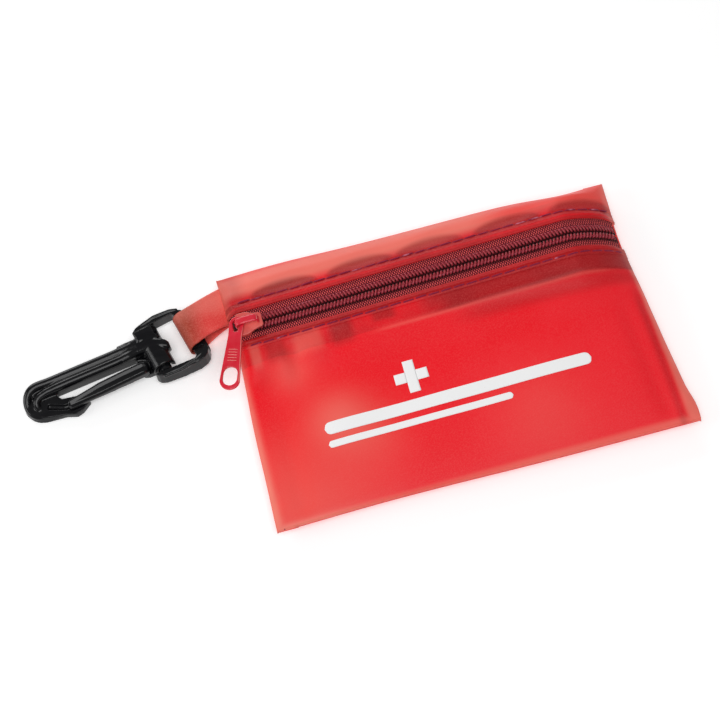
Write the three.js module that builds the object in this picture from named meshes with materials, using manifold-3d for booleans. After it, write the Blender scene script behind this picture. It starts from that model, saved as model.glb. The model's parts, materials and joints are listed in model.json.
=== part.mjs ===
// Travel first aid kit: a small see-through vinyl zip pouch with its supplies inside, and a snap hook
// on a sewn-in strap. Millimetres. +Z up, the pouch lies on its back on z = 0, and the zipper runs
// along +X across the upper third of the front. Origin: centre of the pouch's flat back.
import * as THREE from "three";
import { mergeVertices } from "three/addons/utils/BufferGeometryUtils.js";
import Module from "manifold-3d";

const wasm = await Module();
wasm.setup();

// ---------------------------------------------------------------- driving sizes
const POUCH = { halfX: 66.5, halfY: 44.5, sideBow: 1.4, seamZ: 4.5, roll: 14 };
const VINYL = 0.5;
const SEAM_GAP = 0.7; // between the front and back panels along the edge
const GAP = 0.1; // between sheets that lie on each other

const ZIP = {
  y: 23.5, // centre line
  levelZ: 12.08, // height of the tape's mid plane at x = 0
  slope: 0.054, // the line climbs towards +X, where the kit is fuller
  straightTo: 47, // it is straight from the slider's end to here, then it dips into the seam
  tapeHalf: 13.5,
  tape: 0.5, // thickness
  slot: 0.5, // half the gap between the two tapes, where the slider's post runs
  coilInner: 0.5,
  coilOuter: 2.45,
  coilHeight: 1.5,
  windowUpper: 5.3, // from the centre line to the upper panel's edge
  windowLower: 5.0, // and to the lower panel's edge
  stitchUpper: 8.8,
  stitchLower: 7.2,
};
const STITCHES = 30; // along the straight 128 mm of each seam, about 4.3 mm each
const STITCHED_HALF = 64;
const THREAD = 0.36;

const SLIDER = {
  x: -58.4, // where the closed zipper parks it
  length: 9,
  halfWidth: 3.9,
  waist: 3.3,
  innerHalf: 2.8,
  bottom: [-1.4, -0.6], // plate heights about the tape's mid plane
  top: [2.15, 3.15],
  flange: 0.5, // lower edge of the top plate's flanges
  crownTop: 5.6,
  crownWall: 0.85,
  crownWidth: 1.8,
  crownFront: -4.2, // the leg that the pull tab turns round
  crownBack: 3.2,
  post: 0.6,
};
const TAB = {
  length: 23.4, // leg centre to free end
  eyeR: 2.5,
  eyeHole: 1.4,
  eyeDrop: 1.9, // the eye is long: its lower arc is this far from the leg
  neckHalf: 2.2,
  endHalf: 3.25,
  holeHalf: 2.3,
  holeLength: 6.5,
  thickness: 1.1,
  lift: 3.4, // underside above the tape's mid plane
  yaw: 15.6, // degrees from -Y towards -X
};

const RING = { x: -83.4, y: 27.1, z: 4.2, turn: 15 }; // centre, and its turn away from -X towards -Y
const RING_BAR = { a: -6.1, length: 5, height: 2.5 };
const RING_ARM = { height: 4.6, back: -8.6 };
const FAR_ARM = {
  inner: [[10.9, 8.9], [-2.8, 8.9], [-3.6, 8.3], [-3.6, 7.8]],
  outer: [[-7.3, 7.8], [-6.5, 9], [-4.2, 10.5], [-1.5, 11.3], [2.4, 11.6], [6.3, 11.3],
    [9.4, 10.6], [10.4, 10]],
};
const NEAR_ARM = {
  inner: [[10.9, -7.8], [-2.8, -9.2], [-3.6, -8.6], [-3.6, -7.8]],
  outer: [[-8.4, -7.8], [-8.2, -8.6], [-7.3, -10.1], [-5.8, -11.1], [-3.2, -11.6], [2.7, -11.2], [8.4, -10.3],
    [10, -9.6], [10.7, -8.6]],
};
const AXLE = { a: 6.9, r: 2.1, halfLength: 8.9 };

const HOOK = {
  turn: 9.5,
  sleeveR: 3.8,
  boreR: 2.35,
  sleeveFrom: -6.9,
  sleeveTo: 8.4,
  shoulderTop: 7.8,
  thickness: 5.6,
  shankInner: 0.95,
  shankOuter: 7.2,
  bendA: 39, // centre of the bend along the hook
  bendR: 6.7,
  nose: [[33.7, -6.7], [30.6, -8.2], [28.5, -7.9], [25.3, -5.7], [25.3, -2.9], [33.2, -1.2]],
  noseFloor: 2.4,
};
const GATE = { rootA: 5.9, rootB: -4.1, rootR: 1.8, tipA: 32, tipB: -5.3, tipHalf: 1.2, z: [2.8, 5.4] };

const STRAP = {
  halfWidth: 7,
  narrowing: 0.93, // from the seam to the ring's bar
  barOffset: 0.85,
  wall: 0.5,
  loopR: 3.35,
  seamY: 34.5,
  seamX: -66.9,
  upperZ: 5.25,
  lowerZ: 4.3,
};

// ---------------------------------------------------------------- materials
const look = (color, roughness, metalness = 0) =>
  new THREE.MeshStandardMaterial({ color, roughness, metalness });
const paint = {
  vinyl: look(0xe3303a, 0.45),
  strap: look(0xe8505a, 0.5),
  tape: look(0xa01838, 0.9),
  coil: look(0x6e1028, 0.5),
  thread: look(0xb03060, 0.8),
  slider: look(0xd81e3c, 0.35, 0.2),
  hook: look(0x101012, 0.25),
  paper: look(0xf3f1ec, 0.8),
  wrapper: look(0xf4f4f2, 0.6),
  foil: look(0xd9dde0, 0.35, 0.4),
};

// ---------------------------------------------------------------- solids
const kit = new THREE.Group();

function addMesh(parent, name, geometry, material) {
  const mesh = new THREE.Mesh(geometry, material);
  mesh.name = name;
  parent.add(mesh);
  return mesh;
}

function signedVolume(points, triangles) {
  const [a, b, c] = [new THREE.Vector3(), new THREE.Vector3(), new THREE.Vector3()];
  let sum = 0;
  for (const [i, j, k] of triangles) {
    a.fromArray(points[i]);
    b.fromArray(points[j]);
    c.fromArray(points[k]);
    sum += a.dot(b.cross(c));
  }
  return sum;
}

// A closed sheet: rows x cols points on its outer face (side 1) and as many on its inner face (side 0).
function sheetSolid(rows, cols, point) {
  const points = [];
  for (const side of [0, 1]) {
    for (let i = 0; i < rows; i++) {
      for (let j = 0; j < cols; j++) points.push(point(i, j, side));
    }
  }
  const at = (i, j, side) => side * rows * cols + i * cols + j;
  const triangles = [];
  const quad = (a, b, c, d) => triangles.push([a, b, c], [a, c, d]);
  for (let i = 0; i < rows - 1; i++) {
    for (let j = 0; j < cols - 1; j++) {
      quad(at(i, j, 1), at(i + 1, j, 1), at(i + 1, j + 1, 1), at(i, j + 1, 1));
      triangles.push([at(i, j, 0), at(i + 1, j + 1, 0), at(i + 1, j, 0)]);
      triangles.push([at(i, j, 0), at(i, j + 1, 0), at(i + 1, j + 1, 0)]);
    }
  }
  for (let i = 0; i < rows - 1; i++) {
    quad(at(i, 0, 0), at(i + 1, 0, 0), at(i + 1, 0, 1), at(i, 0, 1));
    quad(at(i + 1, cols - 1, 0), at(i, cols - 1, 0), at(i, cols - 1, 1), at(i + 1, cols - 1, 1));
  }
  for (let j = 0; j < cols - 1; j++) {
    quad(at(0, j + 1, 0), at(0, j, 0), at(0, j, 1), at(0, j + 1, 1));
    quad(at(rows - 1, j, 0), at(rows - 1, j + 1, 0), at(rows - 1, j + 1, 1), at(rows - 1, j, 1));
  }
  if (signedVolume(points, triangles) < 0) triangles.forEach((triangle) => triangle.reverse());
  const geometry = new THREE.BufferGeometry();
  geometry.setAttribute("position", new THREE.Float32BufferAttribute(points.flat(), 3));
  geometry.setIndex(triangles.flat());
  geometry.computeVertexNormals();
  return geometry;
}

function toManifold(geometry) {
  const bare = geometry.clone();
  bare.deleteAttribute("normal");
  bare.deleteAttribute("uv");
  const merged = mergeVertices(bare, 1e-4);
  const vertProperties = new Float32Array(merged.attributes.position.array);
  const triVerts = new Uint32Array(merged.index.array);
  return new wasm.Manifold(new wasm.Mesh({ numProp: 3, vertProperties, triVerts }));
}

function toGeometry(solid) {
  const mesh = solid.getMesh();
  const geometry = new THREE.BufferGeometry();
  const positions = new Float32Array(mesh.numVert * 3);
  for (let i = 0; i < mesh.numVert; i++) {
    for (let k = 0; k < 3; k++) positions[3 * i + k] = mesh.vertProperties[mesh.numProp * i + k];
  }
  geometry.setAttribute("position", new THREE.BufferAttribute(positions, 3));
  geometry.setIndex(new THREE.BufferAttribute(new Uint32Array(mesh.triVerts), 1));
  geometry.computeVertexNormals();
  return geometry;
}

// An outline in X and Y, extruded from z0 to z1.
function slab(shape, z0, z1, curveSegments = 6) {
  const geometry = new THREE.ExtrudeGeometry(shape, { depth: z1 - z0, bevelEnabled: false, curveSegments });
  return geometry.translate(0, 0, z0);
}

function block(x0, x1, y0, y1, z0, z1) {
  const geometry = new THREE.BoxGeometry(x1 - x0, y1 - y0, z1 - z0);
  return geometry.translate((x0 + x1) / 2, (y0 + y1) / 2, (z0 + z1) / 2);
}

// A cylinder along Y, from y0 to y1, round x, z.
function rodAlongY(r, y0, y1, x, z, sides = 20) {
  const geometry = new THREE.CylinderGeometry(r, r, y1 - y0, sides);
  return geometry.translate(x, (y0 + y1) / 2, z);
}

function outline(points) {
  return new THREE.Shape(points.map(([x, y]) => new THREE.Vector2(x, y)));
}

const union = (geometries) =>
  geometries.map(toManifold).reduce((whole, piece) => whole.add(piece));
const radians = (degrees) => (degrees * Math.PI) / 180;

// ---------------------------------------------------------------- the pouch's surfaces
const halfWidth = (y) => POUCH.halfX - POUCH.sideBow * (1 - (y / POUCH.halfY) ** 2);

// Stations along X, shared by every sheet and thread: one per stitch, and the two side seams.
const stations = [-1];
for (let k = 0; k <= STITCHES; k++) {
  stations.push(((2 * k) / STITCHES - 1) * (STITCHED_HALF / POUCH.halfX));
}
stations.push(1);
const stationX = (i, y) => stations[i] * halfWidth(y);

const smooth = (low, high, value) => {
  const t = Math.min(1, Math.max(0, (value - low) / (high - low)));
  return t * t * (3 - 2 * t);
};

const lineRise = (s) => ZIP.levelZ + ZIP.slope * s * POUCH.halfX - POUCH.seamZ;

// Rise along the zipper: a straight line that drops to the seam at both ends.
function zipperRise(s) {
  const x = s * POUCH.halfX;
  if (Math.abs(s) === 1) return 0;
  if (x <= ZIP.straightTo) return lineRise(s);
  const t = (x - ZIP.straightTo) / (POUCH.halfX - ZIP.straightTo);
  return lineRise(s) * (1 - 0.7 * t - 0.3 * t ** 3);
}

const softRise = (s) => lineRise(s) * Math.sqrt(Math.max(0, 1 - s ** 4));

// How much of the rise is left at y: all of it along the zipper, none at the two long edges.
function crossShare(y) {
  const upper = ZIP.y + ZIP.windowUpper;
  const lower = ZIP.y - ZIP.windowUpper;
  if (y > upper) return Math.sqrt(Math.max(0, 1 - ((y - upper) / (POUCH.halfY - upper)) ** 2));
  if (y < lower) {
    const t = (lower - y) / (lower + POUCH.halfY);
    return Math.max(0, 1 - t ** 3) ** 0.7 * (1 - 0.3 * smooth(0, 0.35, t));
  }
  return 1;
}

// Mid plane of the zipper tapes, and of the front face where there is no tape.
function frontZ(s, y) {
  const nearZipper = 1 - smooth(ZIP.tapeHalf - 2, POUCH.halfY - ZIP.y, Math.abs(y - ZIP.y));
  const rise = zipperRise(s) * nearZipper + softRise(s) * (1 - nearZipper);
  return POUCH.seamZ + rise * crossShare(y);
}

// Underside of the back panel: flat on the surface, rolled up to the seam near the edges.
function backZ(s, y) {
  const edge = Math.min((1 - Math.abs(s)) * POUCH.halfX, POUCH.halfY - Math.abs(y));
  const t = Math.min(1, edge / POUCH.roll);
  const seamUnderside = POUCH.seamZ - SEAM_GAP / 2 - VINYL;
  return seamUnderside * (1 - Math.sqrt(1 - (1 - t) ** 2));
}

// Rows of a sheet between two y values, closer together towards the first.
function rowsBetween(from, to, count, power = 1) {
  const rows = [];
  for (let i = 0; i <= count; i++) rows.push(from + (to - from) * (i / count) ** power);
  return rows;
}

const vinylUnder = ZIP.tape / 2 + GAP;
const vinylTop = vinylUnder + VINYL;

function frontSheet(rows) {
  return sheetSolid(stations.length, rows.length, (i, j, side) => {
    const y = rows[j];
    return [stationX(i, y), y, frontZ(stations[i], y) + (side ? vinylTop : vinylUnder)];
  });
}

const lowerTapeRows = [ZIP.tapeHalf, 10.4, ZIP.stitchLower, ZIP.windowLower].map((d) => ZIP.y - d);
const upperTapeRows = [ZIP.windowUpper, ZIP.stitchUpper, 11.2, ZIP.tapeHalf].map((d) => ZIP.y + d);

function makeFrontLowerPanel() {
  const lead = rowsBetween(-POUCH.halfY, lowerTapeRows[0], 9, 1.35).slice(0, -1);
  return frontSheet([...lead, ...lowerTapeRows]);
}

function makeFrontUpperPanel() {
  const tail = rowsBetween(POUCH.halfY, upperTapeRows[3], 4, 1.6).slice(0, -1).reverse();
  return frontSheet([...upperTapeRows, ...tail]);
}

function makeBackPanel() {
  const edge = rowsBetween(POUCH.halfY, POUCH.halfY - POUCH.roll, 5, 1.6);
  const rows = [...edge.map((y) => -y), -15, 0, 15, ...edge.reverse()];
  const xEdge = rowsBetween(1, 1 - POUCH.roll / POUCH.halfX, 5, 1.6);
  const columns = [...xEdge.map((s) => -s), -0.4, 0, 0.4, ...xEdge.reverse()];
  return sheetSolid(columns.length, rows.length, (i, j, side) => {
    const y = rows[j];
    return [columns[i] * halfWidth(y), y, backZ(columns[i], y) + side * VINYL];
  });
}

// ---------------------------------------------------------------- zipper
const inSeam = stations.slice();
inSeam[0] = -0.99; // the tapes and coils stop just inside the side seams
inSeam[inSeam.length - 1] = 0.99;

function makeTape(offsets) {
  return sheetSolid(inSeam.length, offsets.length, (i, j, side) => {
    const y = ZIP.y + offsets[j];
    return [inSeam[i] * halfWidth(y), y, frontZ(stations[i], y) + (side - 0.5) * ZIP.tape];
  });
}

// One half of the coil: a low bar with rounded shoulders; its turns are too fine for this model.
function makeCoil(sign) {
  const { coilInner, coilOuter, coilHeight } = ZIP;
  const shoulder = 0.45;
  const offsets = [coilInner, coilInner + shoulder, coilOuter - shoulder, coilOuter];
  const base = ZIP.tape / 2 + GAP;
  return sheetSolid(inSeam.length - 2, offsets.length, (i, j, side) => {
    const y = ZIP.y + sign * offsets[j];
    const edge = j === 0 || j === offsets.length - 1;
    const top = base + coilHeight - (edge ? shoulder : 0);
    return [stationX(i + 1, y), y, frontZ(stations[i + 1], y) + (side ? top : base)];
  });
}

// A row of stitches on the vinyl: the thread dips to the sheet at each needle hole.
function makeStitching(offset) {
  const y = ZIP.y + offset;
  const hop = 0.3;
  const count = 2 * STITCHES + 1;
  return sheetSolid(count, 2, (i, j, side) => {
    const k = 1 + Math.floor(i / 2);
    const next = Math.min(k + (i % 2), STITCHES + 1);
    const x = (stationX(k, y) + stationX(next, y)) / 2;
    const rest = (frontZ(stations[k], y) + frontZ(stations[next], y)) / 2 + vinylTop + GAP;
    return [x, y + (j - 0.5) * THREAD, rest + (i % 2 ? hop : 0) + side * THREAD];
  });
}

// The thread that closes a side seam, inside the gap between the front and back panels.
function makeSideSeam(sign) {
  const count = 40;
  const reach = POUCH.halfY - 1;
  const inset = 0.35;
  const ripple = 0.06;
  return sheetSolid(count + 1, 2, (i, j, side) => {
    const y = -reach + (2 * reach * i) / count;
    const x = sign * (halfWidth(y) - inset) + (j - 0.5) * THREAD * 0.8;
    const z = POUCH.seamZ - THREAD / 2 + (i % 2 ? ripple : -ripple);
    return [x, y, z + side * THREAD];
  });
}

// ---------------------------------------------------------------- slider and pull tab
const zipperScale = halfWidth(ZIP.y) / POUCH.halfX;
const zipperSlope = Math.atan(ZIP.slope / zipperScale);

// A group whose X runs along the zipper and whose origin is on the tape's mid plane at the slider.
function sliderFrame() {
  const frame = new THREE.Group();
  frame.position.set(SLIDER.x, ZIP.y, ZIP.levelZ + (ZIP.slope / zipperScale) * SLIDER.x);
  frame.rotation.y = -zipperSlope;
  return frame;
}

function plateOutline() {
  const half = SLIDER.length / 2;
  const { halfWidth: w, waist } = SLIDER;
  const corner = 1.1;
  const side = [[half, w - corner], [half - corner, w], [0.6, w], [-1.2, waist], [-half + 1, waist]];
  const nose = [-half, waist - 1];
  const top = [...side, nose];
  const bottom = top.map(([x, y]) => [x, -y]).reverse();
  return outline([...top, ...bottom]);
}

function makeSliderBody() {
  const { innerHalf, waist, bottom, top, flange, post } = SLIDER;
  const half = SLIDER.length / 2;
  const pieces = [slab(plateOutline(), ...bottom), slab(plateOutline(), ...top)];
  for (const sign of [-1, 1]) {
    const y = [sign * innerHalf, sign * waist].sort((a, b) => a - b);
    pieces.push(block(-half + 1.2, half - 1.2, ...y, flange, top[0] + 0.1));
  }
  pieces.push(block(-half + 0.6, -half + 3.4, -post / 2, post / 2, bottom[1] - 0.1, top[0] + 0.1));
  pieces.push(makeCrown());
  return toGeometry(union(pieces));
}

// The crown: a bridge over the top plate, from the back leg to the front leg.
function makeCrown() {
  const { top, crownTop, crownWall, crownWidth, crownFront, crownBack } = SLIDER;
  const foot = top[1] - 0.2;
  const bend = 0.9;
  const outer = [
    [crownFront - crownWall / 2, foot],
    [crownFront - crownWall / 2, crownTop - bend],
    [crownFront - crownWall / 2 + bend, crownTop],
    [crownBack - bend, crownTop - 0.2],
    [crownBack + crownWall / 2, crownTop - bend - 0.4],
    [crownBack + crownWall / 2, foot],
  ];
  const inner = [
    [crownBack - crownWall / 2, foot],
    [crownBack - crownWall / 2, crownTop - bend - 0.4],
    [crownBack - bend - 0.2, crownTop - crownWall - 0.1],
    [crownFront + crownWall / 2 + 0.2, crownTop - crownWall],
    [crownFront + crownWall / 2, crownTop - crownWall - 0.3],
    [crownFront + crownWall / 2, foot],
  ];
  const bridge = slab(outline([...outer, ...inner]), -crownWidth / 2, crownWidth / 2);
  return bridge.rotateX(Math.PI / 2);
}

function makePullTab() {
  const { length, eyeR, eyeHole, eyeDrop, neckHalf, endHalf, holeHalf, holeLength, thickness } = TAB;
  const endY = -(length - endHalf);
  const shape = new THREE.Shape();
  shape.absarc(0, 0, eyeR, radians(-45), radians(225), false);
  shape.lineTo(-neckHalf, -eyeR - 1.8);
  shape.lineTo(-endHalf, endY);
  shape.absarc(0, endY, endHalf, Math.PI, 2 * Math.PI, false);
  shape.lineTo(neckHalf, -eyeR - 1.8);
  shape.closePath();
  const eye = new THREE.Path();
  eye.absarc(0, 0, eyeHole, 0, Math.PI, false);
  eye.absarc(0, -eyeDrop, eyeHole, Math.PI, 2 * Math.PI, false);
  eye.closePath();
  const straight = holeLength / 2 - holeHalf;
  const holeY = endY + straight + 0.6;
  const hole = new THREE.Path();
  hole.absarc(0, holeY + straight, holeHalf, 0, Math.PI, false);
  hole.absarc(0, holeY - straight, holeHalf, Math.PI, 2 * Math.PI, false);
  hole.closePath();
  shape.holes.push(eye, hole);
  return slab(shape, 0, thickness, 12);
}

function addSliderAndTab() {
  const frame = sliderFrame();
  addMesh(frame, "slider_body", makeSliderBody(), paint.slider);
  const tab = addMesh(frame, "pull_tab", makePullTab(), paint.slider);
  tab.position.set(SLIDER.crownFront, 0, TAB.lift);
  tab.rotation.z = -radians(TAB.yaw);
  kit.add(frame);
}

// ---------------------------------------------------------------- strap, ring and hook
// A group whose Y points along the clip, away from the pouch, and whose X crosses it towards +Y.
function clipFrame(x, y, turn) {
  const frame = new THREE.Group();
  frame.matrixAutoUpdate = false;
  const along = new THREE.Vector3(-Math.cos(radians(turn)), -Math.sin(radians(turn)), 0);
  const across = new THREE.Vector3(-Math.sin(radians(turn)), Math.cos(radians(turn)), 0);
  frame.matrix.makeBasis(across, along, new THREE.Vector3(0, 0, 1));
  frame.matrix.setPosition(x, y, RING.z);
  return frame;
}

// Inside a clip frame, (a, b) means a along the clip and b across it.
const clipOutline = (points) => outline(points.map(([a, b]) => [b, a]));

function clipPoint(a, b) {
  const turn = radians(RING.turn);
  const x = RING.x - a * Math.cos(turn) - b * Math.sin(turn);
  const y = RING.y - a * Math.sin(turn) + b * Math.cos(turn);
  return [x, y];
}

function makeRing() {
  const { height, back } = RING_ARM;
  const barFront = RING_BAR.a + RING_BAR.length / 2;
  const arms = [
    [...FAR_ARM.inner, ...FAR_ARM.outer].reverse(),
    [...NEAR_ARM.inner, ...NEAR_ARM.outer],
  ];
  const pieces = arms.map((arm) => slab(clipOutline(arm), -height / 2, height / 2));
  const flat = RING_BAR.height / 2;
  const chamfer = 0.6;
  const barSection = [
    [back, -flat + chamfer],
    [back + chamfer, -flat],
    [barFront - chamfer, -flat],
    [barFront, -flat + chamfer],
    [barFront, flat - chamfer],
    [barFront - chamfer, flat],
    [back + chamfer, flat],
    [back, flat - chamfer],
  ];
  const bar = slab(outline(barSection), NEAR_ARM.inner[3][1] - 0.4, FAR_ARM.inner[3][1]);
  bar.applyMatrix4(new THREE.Matrix4().makeBasis(
    new THREE.Vector3(0, 1, 0),
    new THREE.Vector3(0, 0, 1),
    new THREE.Vector3(1, 0, 0),
  ));
  const axle = rodAlongY(AXLE.r, -AXLE.halfLength, AXLE.halfLength + 0.6, 0, 0);
  axle.rotateZ(-Math.PI / 2).translate(0, AXLE.a, 0);
  return toGeometry(union([...pieces, bar, axle]));
}

// Corner rounding by an arc of a few points.
function arc(a, b, r, from, to, count) {
  const points = [];
  for (let i = 0; i <= count; i++) {
    const angle = radians(from + ((to - from) * i) / count);
    points.push([a + r * Math.cos(angle), b + r * Math.sin(angle)]);
  }
  return points;
}

function makeHookBody() {
  const h = HOOK;
  const floor = -RING.z;
  const top = floor + h.thickness;
  const bendB = h.shankOuter - h.bendR;
  const throatEnd = h.bendA - 4.6;
  const shank = clipOutline([
    [1.5, h.shankOuter - 0.7],
    [4, h.shankOuter],
    ...arc(h.bendA, bendB, h.bendR, 90, -80, 12),
    ...h.nose,
    [throatEnd, h.shankInner - 0.2],
    [throatEnd - 0.4, h.shankInner],
    [6, h.shankInner],
    [1.5, -1.4],
  ]);
  const rootPlate = clipOutline([
    [1, h.shankInner + 1],
    [6.5, h.shankInner + 1],
    [8.1, -1.6],
    ...arc(GATE.rootA, GATE.rootB, GATE.rootR + 0.3, 0, -130, 5),
    [1, -6.4],
  ]);
  const overNose = clipOutline([
    [h.nose[3][0] - 2, h.shankInner - 0.3],
    [h.nose[3][0] - 2, -12],
    [h.bendA + 9, -12],
    [h.bendA + 9, bendB + 3],
    [h.bendA + 4.2, bendB + 2.9],
    [h.bendA + 1.3, bendB - 1],
    [h.bendA - 1, bendB - 0.4],
    [throatEnd + 0.2, h.shankInner - 0.3],
  ]);
  const shoulder = clipOutline([
    [-2.2, h.sleeveTo - 4.2],
    [4, h.sleeveTo - 4.2],
    [4, h.sleeveTo - 0.2],
    [-2.2, h.sleeveTo - 0.2],
  ]);
  const sleeveTurn = radians(RING.turn - h.turn);
  const sleeve = rodAlongY(h.sleeveR, h.sleeveFrom, h.sleeveTo, 0, 0, 24);
  const bore = rodAlongY(h.boreR, -20, 20, 0, 0, 24);
  const mouth = block(-1.6, 1.6, -20, 20, -h.sleeveR - 2, 0).rotateY(-radians(48));
  for (const rod of [sleeve, bore, mouth]) rod.rotateZ(sleeveTurn - Math.PI / 2);
  const body = union([
    slab(shank, floor, top),
    slab(rootPlate, floor, floor + h.noseFloor),
    slab(shoulder, 0, h.shoulderTop - RING.z),
    sleeve,
  ]);
  const room = union([bore, mouth]);
  const recess = toManifold(slab(overNose, floor + h.noseFloor, top + 1));
  return toGeometry(body.subtract(room).subtract(recess));
}

function makeGate() {
  const { rootA, rootB, rootR, tipA, tipB, tipHalf, z } = GATE;
  const shape = clipOutline([
    ...arc(rootA, rootB, rootR, 90, 270, 8),
    [tipA - 12, tipB - tipHalf + 0.1],
    [tipA - 0.7, tipB - tipHalf],
    [tipA, tipB - tipHalf + 0.6],
    [tipA, tipB + tipHalf - 0.6],
    [tipA - 0.8, tipB + tipHalf],
    [tipA - 11.5, rootB + rootR],
  ]);
  return slab(shape, z[0] - RING.z, z[1] - RING.z);
}

// The strap: out of the side seam, round the ring's bar and back, as one folded piece.
function makeStrap() {
  const { halfWidth: w, narrowing, barOffset, wall, loopR, seamY, seamX, upperZ, lowerZ } = STRAP;
  const legSteps = 4;
  const turnSteps = 12;
  const path = [];
  for (let i = 0; i < legSteps; i++) {
    const t = i / legSteps;
    path.push({ t, lift: upperZ + (RING.z + loopR - upperZ) * t, forward: 0, normal: [0, 1] });
  }
  for (let i = 0; i <= turnSteps; i++) {
    const angle = Math.PI / 2 - (Math.PI * i) / turnSteps;
    const normal = [Math.cos(angle), Math.sin(angle)];
    path.push({ t: 1, lift: RING.z + loopR * normal[1], forward: loopR * normal[0], normal });
  }
  for (let i = legSteps - 1; i >= 0; i--) {
    const t = i / legSteps;
    path.push({ t, lift: lowerZ + (RING.z - loopR - lowerZ) * t, forward: 0, normal: [0, -1] });
  }
  return sheetSolid(path.length, 3, (i, j, side) => {
    const { t, lift, forward, normal } = path[i];
    const offset = (side - 0.5) * wall;
    const across = (j - 1) * w;
    const atSeam = [seamX, seamY + across];
    const atBar = clipPoint(RING_BAR.a + forward + offset * normal[0], across * narrowing + barOffset);
    const x = atSeam[0] + (atBar[0] - atSeam[0]) * t;
    const y = atSeam[1] + (atBar[1] - atSeam[1]) * t;
    return [x, y, lift + offset * normal[1]];
  });
}

function addClip() {
  addMesh(kit, "hanging_strap", makeStrap(), paint.strap);
  const ringFrame = clipFrame(RING.x, RING.y, RING.turn);
  addMesh(ringFrame, "clip_ring", makeRing(), paint.hook);
  const hookFrame = clipFrame(...clipPoint(AXLE.a, 0), HOOK.turn);
  addMesh(hookFrame, "hook_body", makeHookBody(), paint.hook);
  addMesh(hookFrame, "hook_gate", makeGate(), paint.hook);
  kit.add(ringFrame, hookFrame);
}

// ---------------------------------------------------------------- supplies inside
// A sealed packet: a flat rim, and a raised middle where its contents are.
function makePacket([x0, x1], [y0, y1], [z0, z1], rim) {
  const xs = [x0, x0 + rim, x0 + 2 * rim, x1 - 2 * rim, x1 - rim, x1];
  const ys = [y0, y0 + rim, y0 + 2 * rim, y1 - 2 * rim, y1 - rim, y1];
  const foil = 0.3;
  const last = xs.length - 1;
  return sheetSolid(xs.length, ys.length, (i, j, side) => {
    const depth = Math.min(i, j, last - i, last - j);
    const z = depth < 2 ? z0 + foil : z1;
    return [xs[i], ys[j], side ? z : z0];
  });
}

function addSupplies() {
  addMesh(kit, "first_aid_leaflet", block(-47, 47, -30, 30, 0.7, 1.2), paint.paper);
  const gauze = [[-55, -1], [1, 55]];
  gauze.forEach((x, i) => {
    addMesh(kit, `gauze_pad_${i + 1}`, makePacket(x, [-27, 27], [1.4, 4.1], 4), paint.wrapper);
  });
  const wipes = [[-56, -20], [-18, 18], [20, 56]];
  wipes.forEach((x, i) => {
    addMesh(kit, `antiseptic_wipe_${i + 1}`, makePacket(x, [-27, 22], [4.3, 5.9], 4), paint.foil);
  });
  const bandages = [
    { x: -46, y: -27, z: 6.1 },
    { x: -46, y: -6, z: 6.1 },
    { x: -22, y: -26, z: 7.1 },
    { x: -22, y: -4, z: 7.1 },
    { x: -18, y: -8, z: 8.1 },
  ];
  const [long, wide, thick] = [76, 20, 0.8];
  bandages.forEach(({ x, y, z }, i) => {
    const packet = makePacket([x, x + long], [y, y + wide], [z, z + thick], 3);
    addMesh(kit, `adhesive_bandage_${i + 1}`, packet, paint.wrapper);
  });
  addMesh(kit, "ointment_sachet", makePacket([32, 57], [17, 36], [6.1, 8.7], 3), paint.foil);
}

// ---------------------------------------------------------------- the kit
addMesh(kit, "back_panel", makeBackPanel(), paint.vinyl);
addMesh(kit, "front_lower_panel", makeFrontLowerPanel(), paint.vinyl);
addMesh(kit, "front_upper_panel", makeFrontUpperPanel(), paint.vinyl);
const lowerTape = [-ZIP.tapeHalf, -10.4, -ZIP.stitchLower, -ZIP.windowLower, -ZIP.coilOuter, -ZIP.slot];
const upperTape = [ZIP.slot, ZIP.coilOuter, ZIP.windowUpper, ZIP.stitchUpper, 11.2, ZIP.tapeHalf];
addMesh(kit, "zipper_tape_lower", makeTape(lowerTape), paint.tape);
addMesh(kit, "zipper_tape_upper", makeTape(upperTape), paint.tape);
addMesh(kit, "zipper_coil_lower", makeCoil(-1), paint.coil);
addMesh(kit, "zipper_coil_upper", makeCoil(1), paint.coil);
addMesh(kit, "stitching_lower", makeStitching(-ZIP.stitchLower), paint.thread);
addMesh(kit, "stitching_upper", makeStitching(ZIP.stitchUpper), paint.thread);
addMesh(kit, "side_seam_left", makeSideSeam(-1), paint.thread);
addMesh(kit, "side_seam_right", makeSideSeam(1), paint.thread);
addSliderAndTab();
addClip();
addSupplies();

export default kit;
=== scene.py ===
"""Looks for the travel first aid kit: a see-through red vinyl zip pouch with its supplies inside, a folded
hanging strap and a black plastic snap hook. Metres, in the CAD frame: +X along the zipper away from the
hook, +Y towards the zipper edge, +Z up; the pouch lies on its back on z = 0."""
import json
import math

import bpy
import numpy as np
from mathutils import Matrix, Vector


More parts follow.
